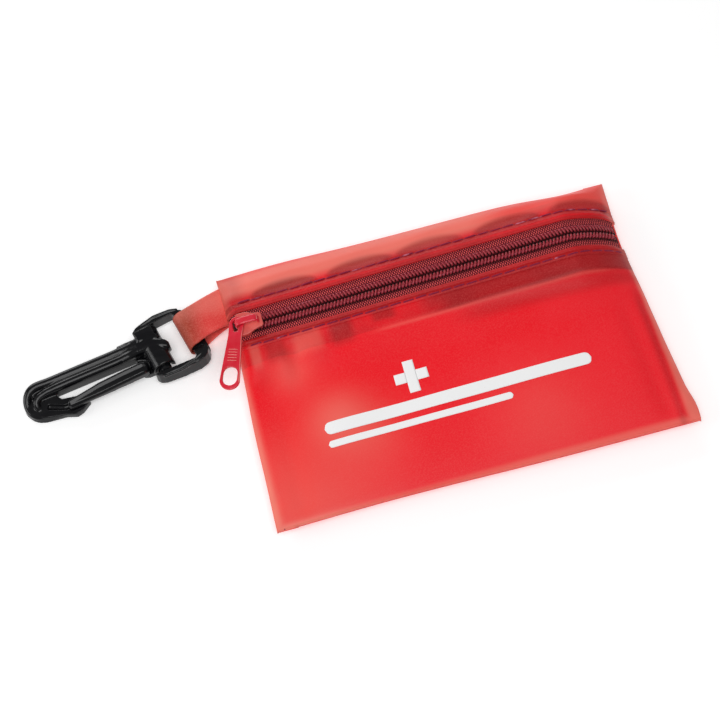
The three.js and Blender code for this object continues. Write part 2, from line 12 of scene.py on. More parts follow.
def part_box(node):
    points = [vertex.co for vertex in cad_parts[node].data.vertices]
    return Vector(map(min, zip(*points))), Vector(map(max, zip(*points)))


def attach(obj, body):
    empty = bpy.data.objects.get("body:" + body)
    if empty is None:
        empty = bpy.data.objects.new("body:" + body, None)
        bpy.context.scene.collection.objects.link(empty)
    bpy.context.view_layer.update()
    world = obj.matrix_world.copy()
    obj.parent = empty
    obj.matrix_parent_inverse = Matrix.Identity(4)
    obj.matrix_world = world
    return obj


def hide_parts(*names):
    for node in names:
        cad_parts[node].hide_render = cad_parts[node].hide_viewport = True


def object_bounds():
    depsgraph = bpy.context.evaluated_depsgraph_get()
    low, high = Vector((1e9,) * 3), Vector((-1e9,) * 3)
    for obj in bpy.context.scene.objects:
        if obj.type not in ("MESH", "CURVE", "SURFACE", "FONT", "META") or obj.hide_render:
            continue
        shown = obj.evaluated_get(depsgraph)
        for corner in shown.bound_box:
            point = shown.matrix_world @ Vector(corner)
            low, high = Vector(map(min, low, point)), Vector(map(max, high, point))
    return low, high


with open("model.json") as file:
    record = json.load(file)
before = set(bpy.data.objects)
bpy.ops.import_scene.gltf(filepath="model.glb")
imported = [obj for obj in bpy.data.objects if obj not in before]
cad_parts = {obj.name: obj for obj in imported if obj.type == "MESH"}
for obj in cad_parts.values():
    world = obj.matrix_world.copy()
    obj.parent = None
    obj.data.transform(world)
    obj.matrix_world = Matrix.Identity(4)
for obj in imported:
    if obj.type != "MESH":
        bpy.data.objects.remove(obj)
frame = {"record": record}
cad_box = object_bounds()
MM = 0.001


def joint(name):
    return next(j for j in frame["record"]["behaviour"]["joints"] if j["name"] == name)


# ---------------------------------------------------------------- sizes, worked out from the frame
BACK_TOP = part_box("back_panel")[1]
HALF_X, HALF_Y = BACK_TOP[0], BACK_TOP[1]
PANEL_EDGE = 0.35 * MM  # from the seam's mid height to each CAD panel's edge
SEAM_Z = BACK_TOP[2] + PANEL_EDGE
VINYL = 0.45 * MM
COIL_UP_LOW, COIL_UP_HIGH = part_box("zipper_coil_upper")
ZIP_Y = (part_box("zipper_coil_lower")[1][1] + COIL_UP_LOW[1]) / 2
ZIP_AXIS = Vector(joint("zipper_slide")["axis"])
ZIP_LEVEL = 12.08 * MM  # tape's mid plane at x = 0
ZIP_SLOPE = 0.054  # per unit of the pouch's full half width
STRAIGHT_TO = 47 * MM
LEFT_DIP_FROM = 62.5 * MM
TAPE_HALF, TAPE = 13.5 * MM, 0.5 * MM
WINDOW_UPPER, WINDOW_LOWER = 5.3 * MM, 5.0 * MM
STITCH_UPPER, STITCH_LOWER = 8.8 * MM, 7.2 * MM
STITCH = 4.27 * MM
COIL_PITCH = 1.16 * MM
COIL_OUTER = COIL_UP_HIGH[1] - ZIP_Y
COIL_CLEAR = 0.1 * MM  # from the tape's face to the coil
ROLL = 14 * MM
LIP = 0.6 * MM  # radius of the roll into a turned side seam
ALLOWANCE = 6 * MM


# ---------------------------------------------------------------- number helpers
def smooth(low, high, value):
    t = np.clip((value - low) / (high - low), 0, 1)
    return t * t * (3 - 2 * t)


def bump(value, centre, width):
    return np.exp(-(((value - centre) / width) ** 2))


def between(value, low, high, soft):
    return smooth(low - soft, low + soft, value) * (1 - smooth(high - soft, high + soft, value))


def signed_power(value, power):
    """Below 1, the power squares off a sine or cosine."""
    return np.sign(value) * np.abs(value) ** power


def points_of(x, y, z):
    """Points from three arrays or numbers of matching shape, X, Y and Z on the last axis."""
    return np.stack(np.broadcast_arrays(x, y, z), -1)


def relaxed(path, rounds):
    """The path with its corners eased, its ends left in place."""
    for _ in range(rounds):
        path[1:-1] = (path[:-2] + 2 * path[1:-1] + path[2:]) / 4
    return path


# ---------------------------------------------------------------- mesh helpers
def new_object(name, verts, faces, material, shade=True):
    mesh = bpy.data.meshes.new(name)
    mesh.from_pydata([tuple(v) for v in verts], [], [tuple(f) for f in faces])
    mesh.validate()
    mesh.update()
    if shade:
        mesh.polygons.foreach_set("use_smooth", [True] * len(mesh.polygons))
    piece = bpy.data.objects.new(name, mesh)
    bpy.context.scene.collection.objects.link(piece)
    if material:
        mesh.materials.append(material)
    return piece


def belongs(piece, body, node=None):
    """Ties a piece to its body, and hides the CAD node it stands for, if any."""
    if node:
        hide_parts(node)
    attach(piece, body)


def signed_volume(verts, quads):
    a, b, c, d = (verts[quads[:, k]] for k in range(4))
    first = np.einsum("ij,ij->i", a, np.cross(b, c))
    second = np.einsum("ij,ij->i", a, np.cross(c, d))
    return (first + second).sum()


def shell_data(outer, inner):
    """A closed sheet between two grids of points of the same shape (rows, columns, 3)."""
    rows, cols = outer.shape[:2]
    verts = np.concatenate([outer.reshape(-1, 3), inner.reshape(-1, 3)])
    index = np.arange(rows * cols).reshape(rows, cols)
    a, b, c, d = index[:-1, :-1], index[1:, :-1], index[1:, 1:], index[:-1, 1:]
    top = np.stack([a, b, c, d], -1).reshape(-1, 4)
    bottom = top[:, ::-1] + rows * cols
    ring = np.concatenate([index[0, :-1], index[:-1, -1], index[-1, :0:-1], index[:0:-1, 0]])
    after = np.roll(ring, -1)
    rim = np.stack([ring, after, after + rows * cols, ring + rows * cols], -1)
    quads = np.concatenate([top, bottom, rim])
    if signed_volume(verts, quads) < 0:
        quads = quads[:, ::-1]
    return verts, quads


def grid_normals(points):
    along = np.gradient(points, axis=0)
    across = np.gradient(points, axis=1)
    normals = np.cross(along, across)
    return normals / np.maximum(np.linalg.norm(normals, axis=-1, keepdims=True), 1e-12)


def sheet_piece(name, outer, thickness, material, inward=1):
    """A closed sheet whose outer face is a grid of points, thickened towards its other side."""
    verts, quads = shell_data(outer, outer - inward * thickness * grid_normals(outer))
    return new_object(name, verts, quads, material)


def centred_sheet(name, middle, thickness, material):
    """A closed sheet whose mid surface is a grid of points."""
    half = grid_normals(middle) * thickness / 2
    return new_object(name, *shell_data(middle + half, middle - half), material)


def loft_data(rings):
    """A closed solid through rings of points, all with the same count, capped at both ends."""
    rings = np.asarray(rings, float)
    count, sides = rings.shape[:2]
    index = np.arange(count * sides).reshape(count, sides)
    after = np.roll(index, -1, axis=1)
    quads = np.stack([index[:-1], after[:-1], after[1:], index[1:]], -1).reshape(-1, 4)
    verts = rings.reshape(-1, 3)
    flipped = signed_volume(verts, quads) < 0
    faces = [tuple(q) for q in (quads[:, ::-1] if flipped else quads)]
    ends = [tuple(index[0][::-1]), tuple(index[-1])]
    faces.extend(end[::-1] if flipped else end for end in ends)
    return verts, faces


def prism_data(outline, z0, z1):
    """An outline in X and Y raised from z0 to z1."""
    return loft_data([[(x, y, z) for x, y in outline] for z in (z0, z1)])


def tube_data(path, radius, sides=8, normal=(0.0, 0.0, 1.0)):
    """A capped tube along a path, whose radius may change along it."""
    path = np.asarray(path, float)
    radius = np.broadcast_to(np.asarray(radius, float), len(path))
    tangent = np.gradient(path, axis=0)
    tangent /= np.linalg.norm(tangent, axis=1, keepdims=True)
    side = np.cross(tangent, np.broadcast_to(np.asarray(normal, float), path.shape))
    side /= np.maximum(np.linalg.norm(side, axis=1, keepdims=True), 1e-12)
    up = np.cross(side, tangent)
    angle = (2 * math.pi * np.arange(sides) / sides)[None, :, None]
    ring = np.cos(angle) * side[:, None] + np.sin(angle) * up[:, None]
    return loft_data(path[:, None] + ring * radius[:, None, None])


def joined(parts):
    """Several (verts, faces) as one."""
    verts, faces, start = [], [], 0
    for part_verts, part_faces in parts:
        verts.append(np.asarray(part_verts, float))
        faces.extend(tuple(int(i) + start for i in face) for face in part_faces)
        start += len(part_verts)
    return np.concatenate(verts), faces


def arc(x, y, radius, start, end, count):
    turn = np.radians(np.linspace(start, end, count + 1))
    return [(x + radius * math.cos(t), y + radius * math.sin(t)) for t in turn]


def evaluated_mesh(piece):
    """A mesh of the object with its modifiers applied."""
    graph = bpy.context.evaluated_depsgraph_get()
    return bpy.data.meshes.new_from_object(piece.evaluated_get(graph))


def apply_modifiers(piece):
    mesh, old = evaluated_mesh(piece), piece.data
    piece.modifiers.clear()
    piece.data = mesh
    bpy.data.meshes.remove(old)


def smooth_shaded(piece):
    piece.data.polygons.foreach_set("use_smooth", [True] * len(piece.data.polygons))


def remeshed(piece, voxel):
    """Adds a voxel remesh, which melts overlapping solids into one skin."""
    melt = piece.modifiers.new("melt", "REMESH")
    melt.mode = "VOXEL"
    melt.voxel_size = voxel
    melt.use_smooth_shade = True


def softened(piece, rounds, keep):
    """Rounds the piece's edges, thins its mesh out and applies all its modifiers."""
    relax = piece.modifiers.new("relax", "SMOOTH")
    relax.iterations = rounds
    relax.factor = 0.5
    if keep < 1:
        thin = piece.modifiers.new("thin", "DECIMATE")
        thin.ratio = keep
    apply_modifiers(piece)
    smooth_shaded(piece)
    return piece


def fused(name, parts, voxel, rounds, material, keep=0.5):
    """Overlapping rough solids melted into one moulded piece with soft fillets."""
    piece = new_object(name, *joined(parts), material)
    remeshed(piece, voxel)
    return softened(piece, rounds, keep)


def flat_plate(name, outline, holes, thickness, bevel, material):
    """A flat stamped plate with round-edged outline and holes, built round z = 0."""
    curve = bpy.data.curves.new(name, "CURVE")
    curve.dimensions = "2D"
    curve.fill_mode = "BOTH"
    for points in [outline, *holes]:
        spline = curve.splines.new("POLY")
        spline.points.add(len(points) - 1)
        for point, (x, y) in zip(spline.points, points):
            point.co = (x, y, 0, 1)
        spline.use_cyclic_u = True
    curve.extrude = thickness / 2 - bevel
    curve.bevel_depth = bevel
    curve.bevel_resolution = 3
    curve.offset = -bevel
    source = bpy.data.objects.new(name + "_outline", curve)
    bpy.context.scene.collection.objects.link(source)
    mesh = evaluated_mesh(source)
    bpy.data.objects.remove(source)
    bpy.data.curves.remove(curve)
    piece = bpy.data.objects.new(name, mesh)
    bpy.context.scene.collection.objects.link(piece)
    mesh.materials.clear()
    mesh.materials.append(material)
    merge = piece.modifiers.new("merge", "WELD")
    merge.merge_threshold = 1e-6
    apply_modifiers(piece)
    return piece


# ---------------------------------------------------------------- material helpers
class Shader:
    """A node-based Principled material with a few short ways to add pattern."""

    def __init__(self, name, rough=0.5, specular=0.5, **sockets):
        self.material = bpy.data.materials.new(name)
        self.material.use_nodes = True
        self.tree = self.material.node_tree
        self.inputs = self.tree.nodes["Principled BSDF"].inputs
        self.inputs["Roughness"].default_value = rough
        self.inputs["Specular IOR Level"].default_value = specular
        for socket, value in sockets.items():
            self.inputs[socket.replace("_", " ")].default_value = value
        self.where = self.tree.nodes.new("ShaderNodeTexCoord").outputs["Object"]

    def feed(self, socket, value):
        """Joins another node's output to a socket, or gives the socket a constant."""
        if isinstance(value, bpy.types.NodeSocket):
            self.tree.links.new(value, socket)
        else:
            socket.default_value = (*value, 1) if socket.type == "RGBA" else value

    def node(self, kind, inputs, **settings):
        node = self.tree.nodes.new(kind)
        for key, value in settings.items():
            setattr(node, key, value)
        for key, value in inputs.items():
            self.feed(node.inputs[key], value)
        return node

    def stretched(self, scale, turn=0.0):
        inputs = {0: self.where, "Scale": scale, "Rotation": (0, 0, turn)}
        return self.node("ShaderNodeMapping", inputs).outputs[0]

    def noise(self, scale, detail=2.0, rough=0.5, vector=None):
        inputs = {"Vector": vector or self.where, "Scale": scale, "Detail": detail, "Roughness": rough}
        return self.node("ShaderNodeTexNoise", inputs).outputs[0]

    def math(self, operation, *values, clamp=False):
        inputs = dict(enumerate(values))
        return self.node("ShaderNodeMath", inputs, operation=operation, use_clamp=clamp).outputs[0]

    def times(self, a, b):
        return self.math("MULTIPLY", a, b)

    def axis(self, letter, vector=None):
        return self.node("ShaderNodeSeparateXYZ", {0: vector or self.where}).outputs[letter]

    def attribute(self, name):
        return self.node("ShaderNodeAttribute", {}, attribute_name=name).outputs["Fac"]

    def edges(self):
        """Above 0.5 on ridges, below it in grooves."""
        return self.node("ShaderNodeNewGeometry", {}).outputs["Pointiness"]

    def ramp(self, value, low, high, out_low=0.0, out_high=1.0):
        inputs = dict(enumerate((value, low, high, out_low, out_high)))
        return self.node("ShaderNodeMapRange", inputs, interpolation_type="SMOOTHSTEP").outputs[0]

    def window(self, value, low, high, soft):
        """1 between low and high, 0 outside, with soft ends."""
        rise = self.ramp(value, low - soft, low + soft)
        fall = self.ramp(value, high - soft, high + soft)
        return self.math("SUBTRACT", rise, fall, clamp=True)

    def mix(self, share, a, b):
        return self.node("ShaderNodeMix", {0: share, 6: a, 7: b}, data_type="RGBA").outputs[2]

    def blend(self, value, low, high, a, b, shares=(0.0, 1.0)):
        """From a towards b as value goes from low to high; shares are how much of b at each."""
        return self.mix(self.ramp(value, low, high, *shares), a, b)

    def twill(self, pitch, degrees):
        """Fine diagonal ribs, as embossed in the vinyl."""
        x = self.axis("X", self.stretched((1, 1, 1), math.radians(degrees)))
        return self.math("SINE", self.times(x, 2 * math.pi / pitch))

    def finished(self, base, *layers, rough=None):
        """The material with its colour, roughness and bump layers of (height, metres, strength)."""
        self.feed(self.inputs["Base Color"], base)
        if rough:
            self.feed(self.inputs["Roughness"], rough)
        below = {}
        for height, distance, strength in layers:
            inputs = {"Height": height, "Distance": distance, "Strength": strength, **below}
            below = {"Normal": self.node("ShaderNodeBump", inputs).outputs[0]}
        if below:
            self.feed(self.inputs["Normal"], below["Normal"])
        return self.material


# ---------------------------------------------------------------- materials
RED = (0.96, 0.004, 0.014)
# Painted highlight colour: the salmon the vinyl shows where light glances off it
HIGHLIGHT_SALMON = (0.98, 0.25, 0.19)
# Painted shade colour, also the darker red where the tape shows through the vinyl
SHADE_AND_TAPE_RED = (0.22, 0.007, 0.008)
GRAIN_PITCH = 0.42 * MM


def vinyl_material(name, front):
    """Frosted, see-through red sheet: fine diagonal grain, cloudy tone, darker where a tape lies under it,
    with a painted highlight on its rolled sides and, on the front, painted highlights and shade.
    """
    s = Shader(name, rough=0.45, specular=0.22, Alpha=0.93)
    cloud = s.noise(26, 3, 0.55)
    base = s.blend(cloud, 0.35, 0.7, RED, (0.98, 0.014, 0.026))
    # Painted highlight: lighter salmon towards the side seams, where the rolled sides catch the light
    edge = s.ramp(s.math("ABSOLUTE", s.axis("X")), HALF_X - 4 * MM, HALF_X - 1 * MM)
    base = s.mix(s.times(edge, 0.45), base, HIGHLIGHT_SALMON)
    if front:
        drift = s.math("SUBTRACT", s.times(s.noise(60, 2), 1.2 * MM), 0.6 * MM)
        off = s.math("ADD", s.math("SUBTRACT", s.axis("Y"), ZIP_Y), drift)
        patchy = s.ramp(s.noise(55, 3, 0.6), 0.3, 0.75, 0.1, 0.4)
        band = s.window(off, -TAPE_HALF, TAPE_HALF, 0.35 * MM)
        base = s.mix(s.times(band, patchy), base, SHADE_AND_TAPE_RED)
        # Painted highlights and glows from one vertex attribute, then painted shade and the hems' see-through
        # tone from the other
        base = s.mix(s.attribute("light"), base, HIGHLIGHT_SALMON)
        base = s.mix(s.attribute("shade_and_hem_tone"), base, SHADE_AND_TAPE_RED)
    speck = s.noise(2600, 1, 0.5)
    base = s.blend(speck, 0.35, 0.75, base, (0.95, 0.16, 0.14), (0, 0.14))
    grain = s.math("ADD", s.twill(GRAIN_PITCH, -52), s.times(speck, 1.2))
    layers = (s.noise(120, 3), 0.25 * MM, 0.25), (grain, 0.02 * MM, 0.5)
    return s.finished(base, *layers, rough=s.ramp(cloud, 0.2, 0.8, 0.36, 0.5))


def strap_material():
    """Satin vinyl, with a lighter painted highlight where it leaves the seam and browner painted shade where
    it turns round the bar.
    """
    s = Shader("strap_vinyl", rough=0.45, specular=0.25)
    cloud, speck = s.noise(70, 3, 0.6), s.noise(2400, 1)
    base = s.blend(cloud, 0.3, 0.7, (0.76, 0.045, 0.04), (0.85, 0.11, 0.09))
    # Painted shade: browner towards the fold round the ring's bar
    base = s.blend(s.axis("X"), -80 * MM, -71 * MM, base, (0.27, 0.045, 0.018), (0.85, 0))
    # Painted highlight on the strap's upper part, towards +Y
    crest_highlight = s.window(s.axis("Y"), 33 * MM, 41 * MM, 3 * MM)
    base = s.mix(s.times(crest_highlight, 0.35), base, (0.92, 0.28, 0.22))
    base = s.blend(speck, 0.35, 0.75, base, (0.93, 0.3, 0.24), (0, 0.2))
    grain = s.math("ADD", s.twill(GRAIN_PITCH, -48), s.times(speck, 1.2))
    return s.finished(base, (cloud, 0.2 * MM, 0.3), (grain, 0.02 * MM, 0.5))


def tape_material():
    """Woven polyester: half-offset rows of short floats on maroon with painted salmon glints, and painted
    shade, darkest under the coil.
    """
    s = Shader("zipper_tape_weave", rough=0.8, specular=0.12, Sheen_Weight=0.03)
    x, y = s.axis("X"), s.axis("Y")
    row = s.times(y, 1 / (0.65 * MM))
    shift = s.times(s.math("FLOOR", row), 0.5)
    along = s.math("FRACT", s.math("ADD", s.times(x, 1 / (0.80 * MM)), shift))
    threads = s.window(s.math("FRACT", row), 0.08, 0.92, 0.1)
    weave = s.times(s.window(along, 0.24, 0.76, 0.12), threads)
    fuzz = s.noise(4200, 2, 0.7)
    # Painted highlight: salmon glints on the floats
    float_glint = s.times(weave, s.ramp(fuzz, 0.3, 0.6, 0.45, 1.0))
    base = s.blend(float_glint, 0.15, 0.95, (0.06, 0.001, 0.010), (1.0, 0.13, 0.13))
    # Painted shade: nearly black under the coil
    off = s.math("ABSOLUTE", s.math("SUBTRACT", y, ZIP_Y))
    base = s.blend(off, 2.3 * MM, 3.2 * MM, base, (0.015, 0.001, 0.003), (0.85, 0))
    return s.finished(base, (weave, 0.16 * MM, 0.9), (fuzz, 0.05 * MM, 0.4))


def coil_material():
    s = Shader("zipper_coil_nylon", rough=0.3, specular=0.45)
    streak = s.noise(1800, 2, 0.6, s.stretched((1, 6, 6)))
    base = s.blend(streak, 0.3, 0.7, (0.26, 0.012, 0.022), (0.52, 0.06, 0.08))
    return s.finished(base, (streak, 0.02 * MM, 0.4))


def thread_material():
    """Two-ply thread: a fast twist along its length, with painted pink highlights."""
    s = Shader("sewing_thread", rough=0.6, specular=0.2, Sheen_Weight=0.05)
    diagonal = s.math("ADD", s.axis("X"), s.axis("Y"))
    twist = s.math("SINE", s.times(diagonal, 2 * math.pi / (0.32 * MM)))
    base = s.blend(twist, -0.7, 0.9, (0.17, 0.002, 0.026), (0.44, 0.024, 0.080))
    # Painted highlight: pink patches of glint along the thread
    base = s.blend(s.noise(240, 2), 0.6, 0.72, base, (0.62, 0.16, 0.24))
    return s.finished(base, (twist, 0.05 * MM, 0.7))


def slider_material(name, base_colour, light):
    """Thick semi-gloss paint on die-cast metal, with painted highlights on its edges and high spots and
    painted shade in its hollows.
    """
    s = Shader(name, rough=0.34, specular=0.55, Coat_Weight=0.35, Coat_Roughness=0.22)
    cloud, edges = s.noise(160, 3, 0.6), s.edges()
    base = s.blend(cloud, 0.3, 0.7, base_colour, light)
    # Painted highlight: salmon on the edges and high spots
    base = s.blend(edges, 0.53, 0.59, base, (0.95, 0.36, 0.3), (0, 0.7))
    # Painted shade: darker maroon in the hollows
    base = s.blend(edges, 0.41, 0.48, base, (0.16, 0.004, 0.008), (0.75, 0))
    layers = (s.noise(900, 2, 0.6), 0.03 * MM, 0.35), (cloud, 0.15 * MM, 0.2)
    return s.finished(base, *layers, rough=s.ramp(s.noise(700, 2), 0.3, 0.7, 0.28, 0.42))


def plastic_material():
    """Glossy black acetal: faint flow marks, fine scratches and slightly lighter sharp edges."""
    s = Shader("black_moulded_plastic", rough=0.2, specular=0.3, Coat_Weight=0.1, Coat_Roughness=0.1)
    flow = s.noise(90, 4, 0.6, s.stretched((1, 3, 2), 0.2))
    base = s.blend(flow, 0.35, 0.7, (0.003, 0.003, 0.004), (0.007, 0.007, 0.008))
    base = s.blend(s.edges(), 0.53, 0.6, base, (0.035, 0.035, 0.038), (0, 0.4))
    scratch = s.noise(420, 5, 0.75, s.stretched((0.25, 4, 1), 0.5))
    layers = (flow, 0.10 * MM, 0.12), (s.noise(1500, 2), 0.006 * MM, 0.3)
    return s.finished(base, *layers, rough=s.ramp(scratch, 0.3, 0.8, 0.15, 0.3))


def ink_material():
    """Screen-printed white ink: almost opaque, slightly uneven where it sits on the grain."""
    s = Shader("white_screen_ink", rough=0.5, specular=0.4)
    speck = s.noise(1900, 2, 0.6)
    base = s.blend(speck, 0.62, 0.8, (0.93, 0.93, 0.93), (0.9, 0.62, 0.6), (0, 0.3))
    return s.finished(base, (speck, 0.02 * MM, 0.4))


def paper_material(name, tint, print_tint=None):
    """Sealed paper wrapper: fibres, faint creases and, on some, a pale printed stripe."""
    s = Shader(name, rough=0.72, specular=0.3)
    fibre = s.noise(1500, 4, 0.7, s.stretched((1, 2.5, 1), 0.3))
    base = s.blend(fibre, 0.3, 0.7, tint, tuple(0.86 * c for c in tint), (0, 0.5))
    if print_tint:
        repeat = s.math("FRACT", s.times(s.axis("Y"), 1 / (10 * MM)))
        base = s.mix(s.times(s.window(repeat, 0.44, 0.58, 0.02), 0.8), base, print_tint)
    return s.finished(base, (s.noise(160, 5, 0.7), 0.3 * MM, 0.3), (fibre, 0.03 * MM, 0.5))


def foil_material():
    s = Shader("laminated_foil", rough=0.32, specular=0.6, Metallic=0.35)
    crinkle = s.noise(260, 6, 0.75)
    base = s.blend(crinkle, 0.3, 0.7, (0.72, 0.75, 0.78), (0.86, 0.88, 0.9))
    return s.finished(base, (crinkle, 0.4 * MM, 0.45), rough=s.ramp(crinkle, 0.3, 0.7, 0.24, 0.42))


VINYL_FRONT = vinyl_material("frosted_vinyl_front", True)
VINYL_BACK = vinyl_material("frosted_vinyl_back", False)
STRAP_VINYL = strap_material()
TAPE_WEAVE = tape_material()
COIL_NYLON = coil_material()
THREAD = thread_material()
# Painted highlight: the plates get a lighter salmon copy of the slider's red paint, for the light on its flat
# top
SLIDER_PAINT_LIT = slider_material("slider_paint_highlight_salmon", (0.62, 0.05, 0.05), (0.78, 0.13, 0.11))
TAB_PAINT = slider_material("tab_paint_crimson", (0.66, 0.004, 0.022), (0.74, 0.012, 0.04))
BLACK_PLASTIC = plastic_material()
INK = ink_material()
WRAPPER = paper_material("sealed_paper_wrapper", (0.87, 0.86, 0.82), (0.35, 0.55, 0.62))
GAUZE_PAPER = paper_material("gauze_paper_wrapper", (0.9, 0.9, 0.88))
LEAFLET_PAPER = paper_material("leaflet_paper", (0.88, 0.87, 0.84))
FOIL = foil_material()


# ---------------------------------------------------------------- the pouch's surfaces
def side_edge(side, y):
    """How far each side seam is pulled in from the pouch's corner, at height y up the pouch."""
    down = (HALF_Y - y) / (2 * HALF_Y)
    if side < 0:
        return 1.5 * MM * bump(down, 0.33, 0.28) + 0.3 * MM * bump(down, 0.8, 0.15)
    pulled = 2.0 * MM * bump(down, 0.27, 0.24) + 0.9 * MM * bump(down, 0.62, 0.22)
    return pulled - 0.9 * MM * bump(down, 0.95, 0.06)


def end_edge(side, x):
    """How far the top or bottom fold is pulled in, along the pouch."""
    along = (x + HALF_X) / (2 * HALF_X)
    if side > 0:
        return -0.7 * MM * bump(along, 0.16, 0.14) + 1.5 * MM * bump(along, 0.88, 0.1)
    return 1.0 * MM * bump(along, 0.28, 0.3)


def outline_xy(s, y):
    """Nominal (s, y), with s from -1 to 1 across the pouch, to the place on the real outline."""
    left = -HALF_X + side_edge(-1, y)
    right = HALF_X - side_edge(1, y)
    x = left + (right - left) * (s + 1) / 2
    upper = smooth(ZIP_Y + TAPE_HALF, HALF_Y, y)
    lower = smooth(-HALF_Y / 2, -HALF_Y, y)
    return x, y - end_edge(1, x) * upper + end_edge(-1, x) * lower


def line_rise(s):
    return ZIP_LEVEL + ZIP_SLOPE * s * HALF_X - SEAM_Z


def zipper_rise(s):
    x = s * HALF_X
    w = np.clip((x - STRAIGHT_TO) / (HALF_X - STRAIGHT_TO), 0, 1)
    right = 1.18 * w**2 / (w + 0.18)
    left = np.clip((-x - LEFT_DIP_FROM) / (HALF_X - LEFT_DIP_FROM), 0, 1)
    return line_rise(s) * (1 - 0.7 * right - 0.3 * right**3) * np.sqrt(np.maximum(0, 1 - left**2))


def cross_share(y):
    upper, lower = ZIP_Y + WINDOW_UPPER, ZIP_Y - WINDOW_UPPER
    above = np.clip((y - upper) / (HALF_Y - upper), 0, 1)
    below = np.clip((lower - y) / (lower + HALF_Y), 0, 1)
    falling = (1 - below**3) ** 0.7 * (1 - 0.3 * smooth(0, 0.35, below))
    return np.sqrt(1 - above**2) * falling


def mid_surface(s, y):
    """Mid plane of the zipper tapes, carried on across the whole front, with its dents and creases."""
    x = s * HALF_X
    off = y - ZIP_Y
    near = 1 - smooth(TAPE_HALF - 2 * MM, HALF_Y - ZIP_Y, np.abs(off))
    soft = line_rise(s) * np.sqrt(np.maximum(0, 1 - s**4))
    rise = (zipper_rise(s) * near + soft * (1 - near)) * cross_share(y)
    inside = np.minimum((1 - np.abs(s)) * HALF_X, HALF_Y - np.abs(y))
    place = x / MM, y / MM
    relief = (np.where(off > 0, upper_relief(*place), lower_relief(*place)) + slow_waves(*place)) * MM
    away = smooth(STITCH_LOWER, STITCH_LOWER + 3 * MM, np.abs(off))
    return SEAM_Z + rise + relief * smooth(0, 6 * MM, inside) * away


DENTS = [(-45.5, 9.5, 1.15), (-20, 9, 1.0), (3, 8.5, 0.85), (29, 10, 1.0), (54, 6.5, 0.9)]  # x, reach, depth
CREASES = [
    # height, x, reach in x, y, reach in y
    (0.55, -54, 3.0, 7, 9),
    (-0.9, -48.5, 2.6, 9, 6),
    (0.5, -42, 3.4, 10, 5),
    (-0.5, -34, 4.0, 11, 4.5),
    (0.8, -40, 13, -14, 15),
]


def upper_relief(x, y):
    """Soft pillow dents between the upper stitches and the fold, with a ridge beyond them."""
    relief = 0.35 * bump(y, 40, 2.4)
    for centre, reach, depth in DENTS:
        relief = relief + (0.5 * bump(y, 39.3, 2.2) - depth * bump(y, 34.8, 2.3)) * bump(x, centre, reach)
    return relief


def lower_relief(x, y):
    """Creases below the zipper's left end, rolled sides, and a hollow and a ridge along the tape's edge."""
    relief = 0.35 * bump(y, 10.4, 1.2) * smooth(-25, 20, x) - 0.8 * bump(y, 6.5, 3.2) * smooth(0, 45, x)
    for height, centre_x, reach_x, centre_y, reach_y in CREASES:
        relief = relief + height * bump(x, centre_x, reach_x) * bump(y, centre_y, reach_y)
    relief = relief - 0.5 * bump(x, -57, 3.5) * smooth(6, -14, y)
    return relief - 0.45 * bump(x, 57.5, 3.2) * smooth(5, -12, y)


def slow_waves(x, y):
    waves = 0.10 * np.sin(x / 9.7 + 0.8) * np.sin(y / 7.9 + 2.1)
    return waves + 0.07 * np.sin(x / 5.3 - y / 6.7 + 0.4)


def seam_puckers(s, y):
    """Short creases that run in from the sewn side seams."""
    inside = (1 - np.abs(s)) * HALF_X
    ripple = np.sin(y / (1.9 * MM) + 1.3 * np.sin(y / (6.1 * MM)) + 2.0 * np.sign(s))
    return 0.16 * MM * ripple * bump(inside, 1.8 * MM, 1.8 * MM)


def hem_relief(off, x):
    """The vinyl's edge at the zipper: folded under, pulled down along the stitches, puckered at each hole."""
    below = off < 0
    window = np.where(below, WINDOW_LOWER, WINDOW_UPPER)
    sewn = np.where(below, STITCH_LOWER, STITCH_UPPER)
    inside = np.abs(off) - window
    row = sewn - window
    double = VINYL * (1 - smooth(row - 1.0 * MM, row - 0.1 * MM, inside))
    bead = 0.22 * MM * bump(inside, row * 0.45, 0.55 * MM)
    pull = 0.32 * MM * bump(inside, row, 0.7 * MM)
    hole = np.abs((x / STITCH) % 1 - 0.5) * STITCH
    pucker = 0.22 * MM * bump(inside, row, 0.55 * MM) * bump(hole, 0, 0.55 * MM)
    return double + bead - pull - pucker


def front_outer(s, y):
    """Height of the front vinyl's outer face."""
    x = s * HALF_X
    inside = np.minimum((1 - np.abs(s)) * HALF_X, HALF_Y - np.abs(y))
    lift = TAPE / 2 + 0.1 * MM + VINYL
    height = mid_surface(s, y) + LIP + (lift - LIP) * smooth(0, 3 * MM, inside)
    height = height + hem_relief(y - ZIP_Y, x) * smooth(0.0, 4 * MM, (1 - np.abs(s)) * HALF_X)
    return height + seam_puckers(s, y) * smooth(0, 4 * MM, HALF_Y - np.abs(y))


# Painted glows: places on the front where the light comes back through the vinyl: x, y, reach in mm,
# strength.
PAINTED_GLOWS = ((-40, -15, 9, 0.45), (-50, 4, 7, 0.3), (-30, -22, 10, 0.2), (20, -30, 14, 0.15))


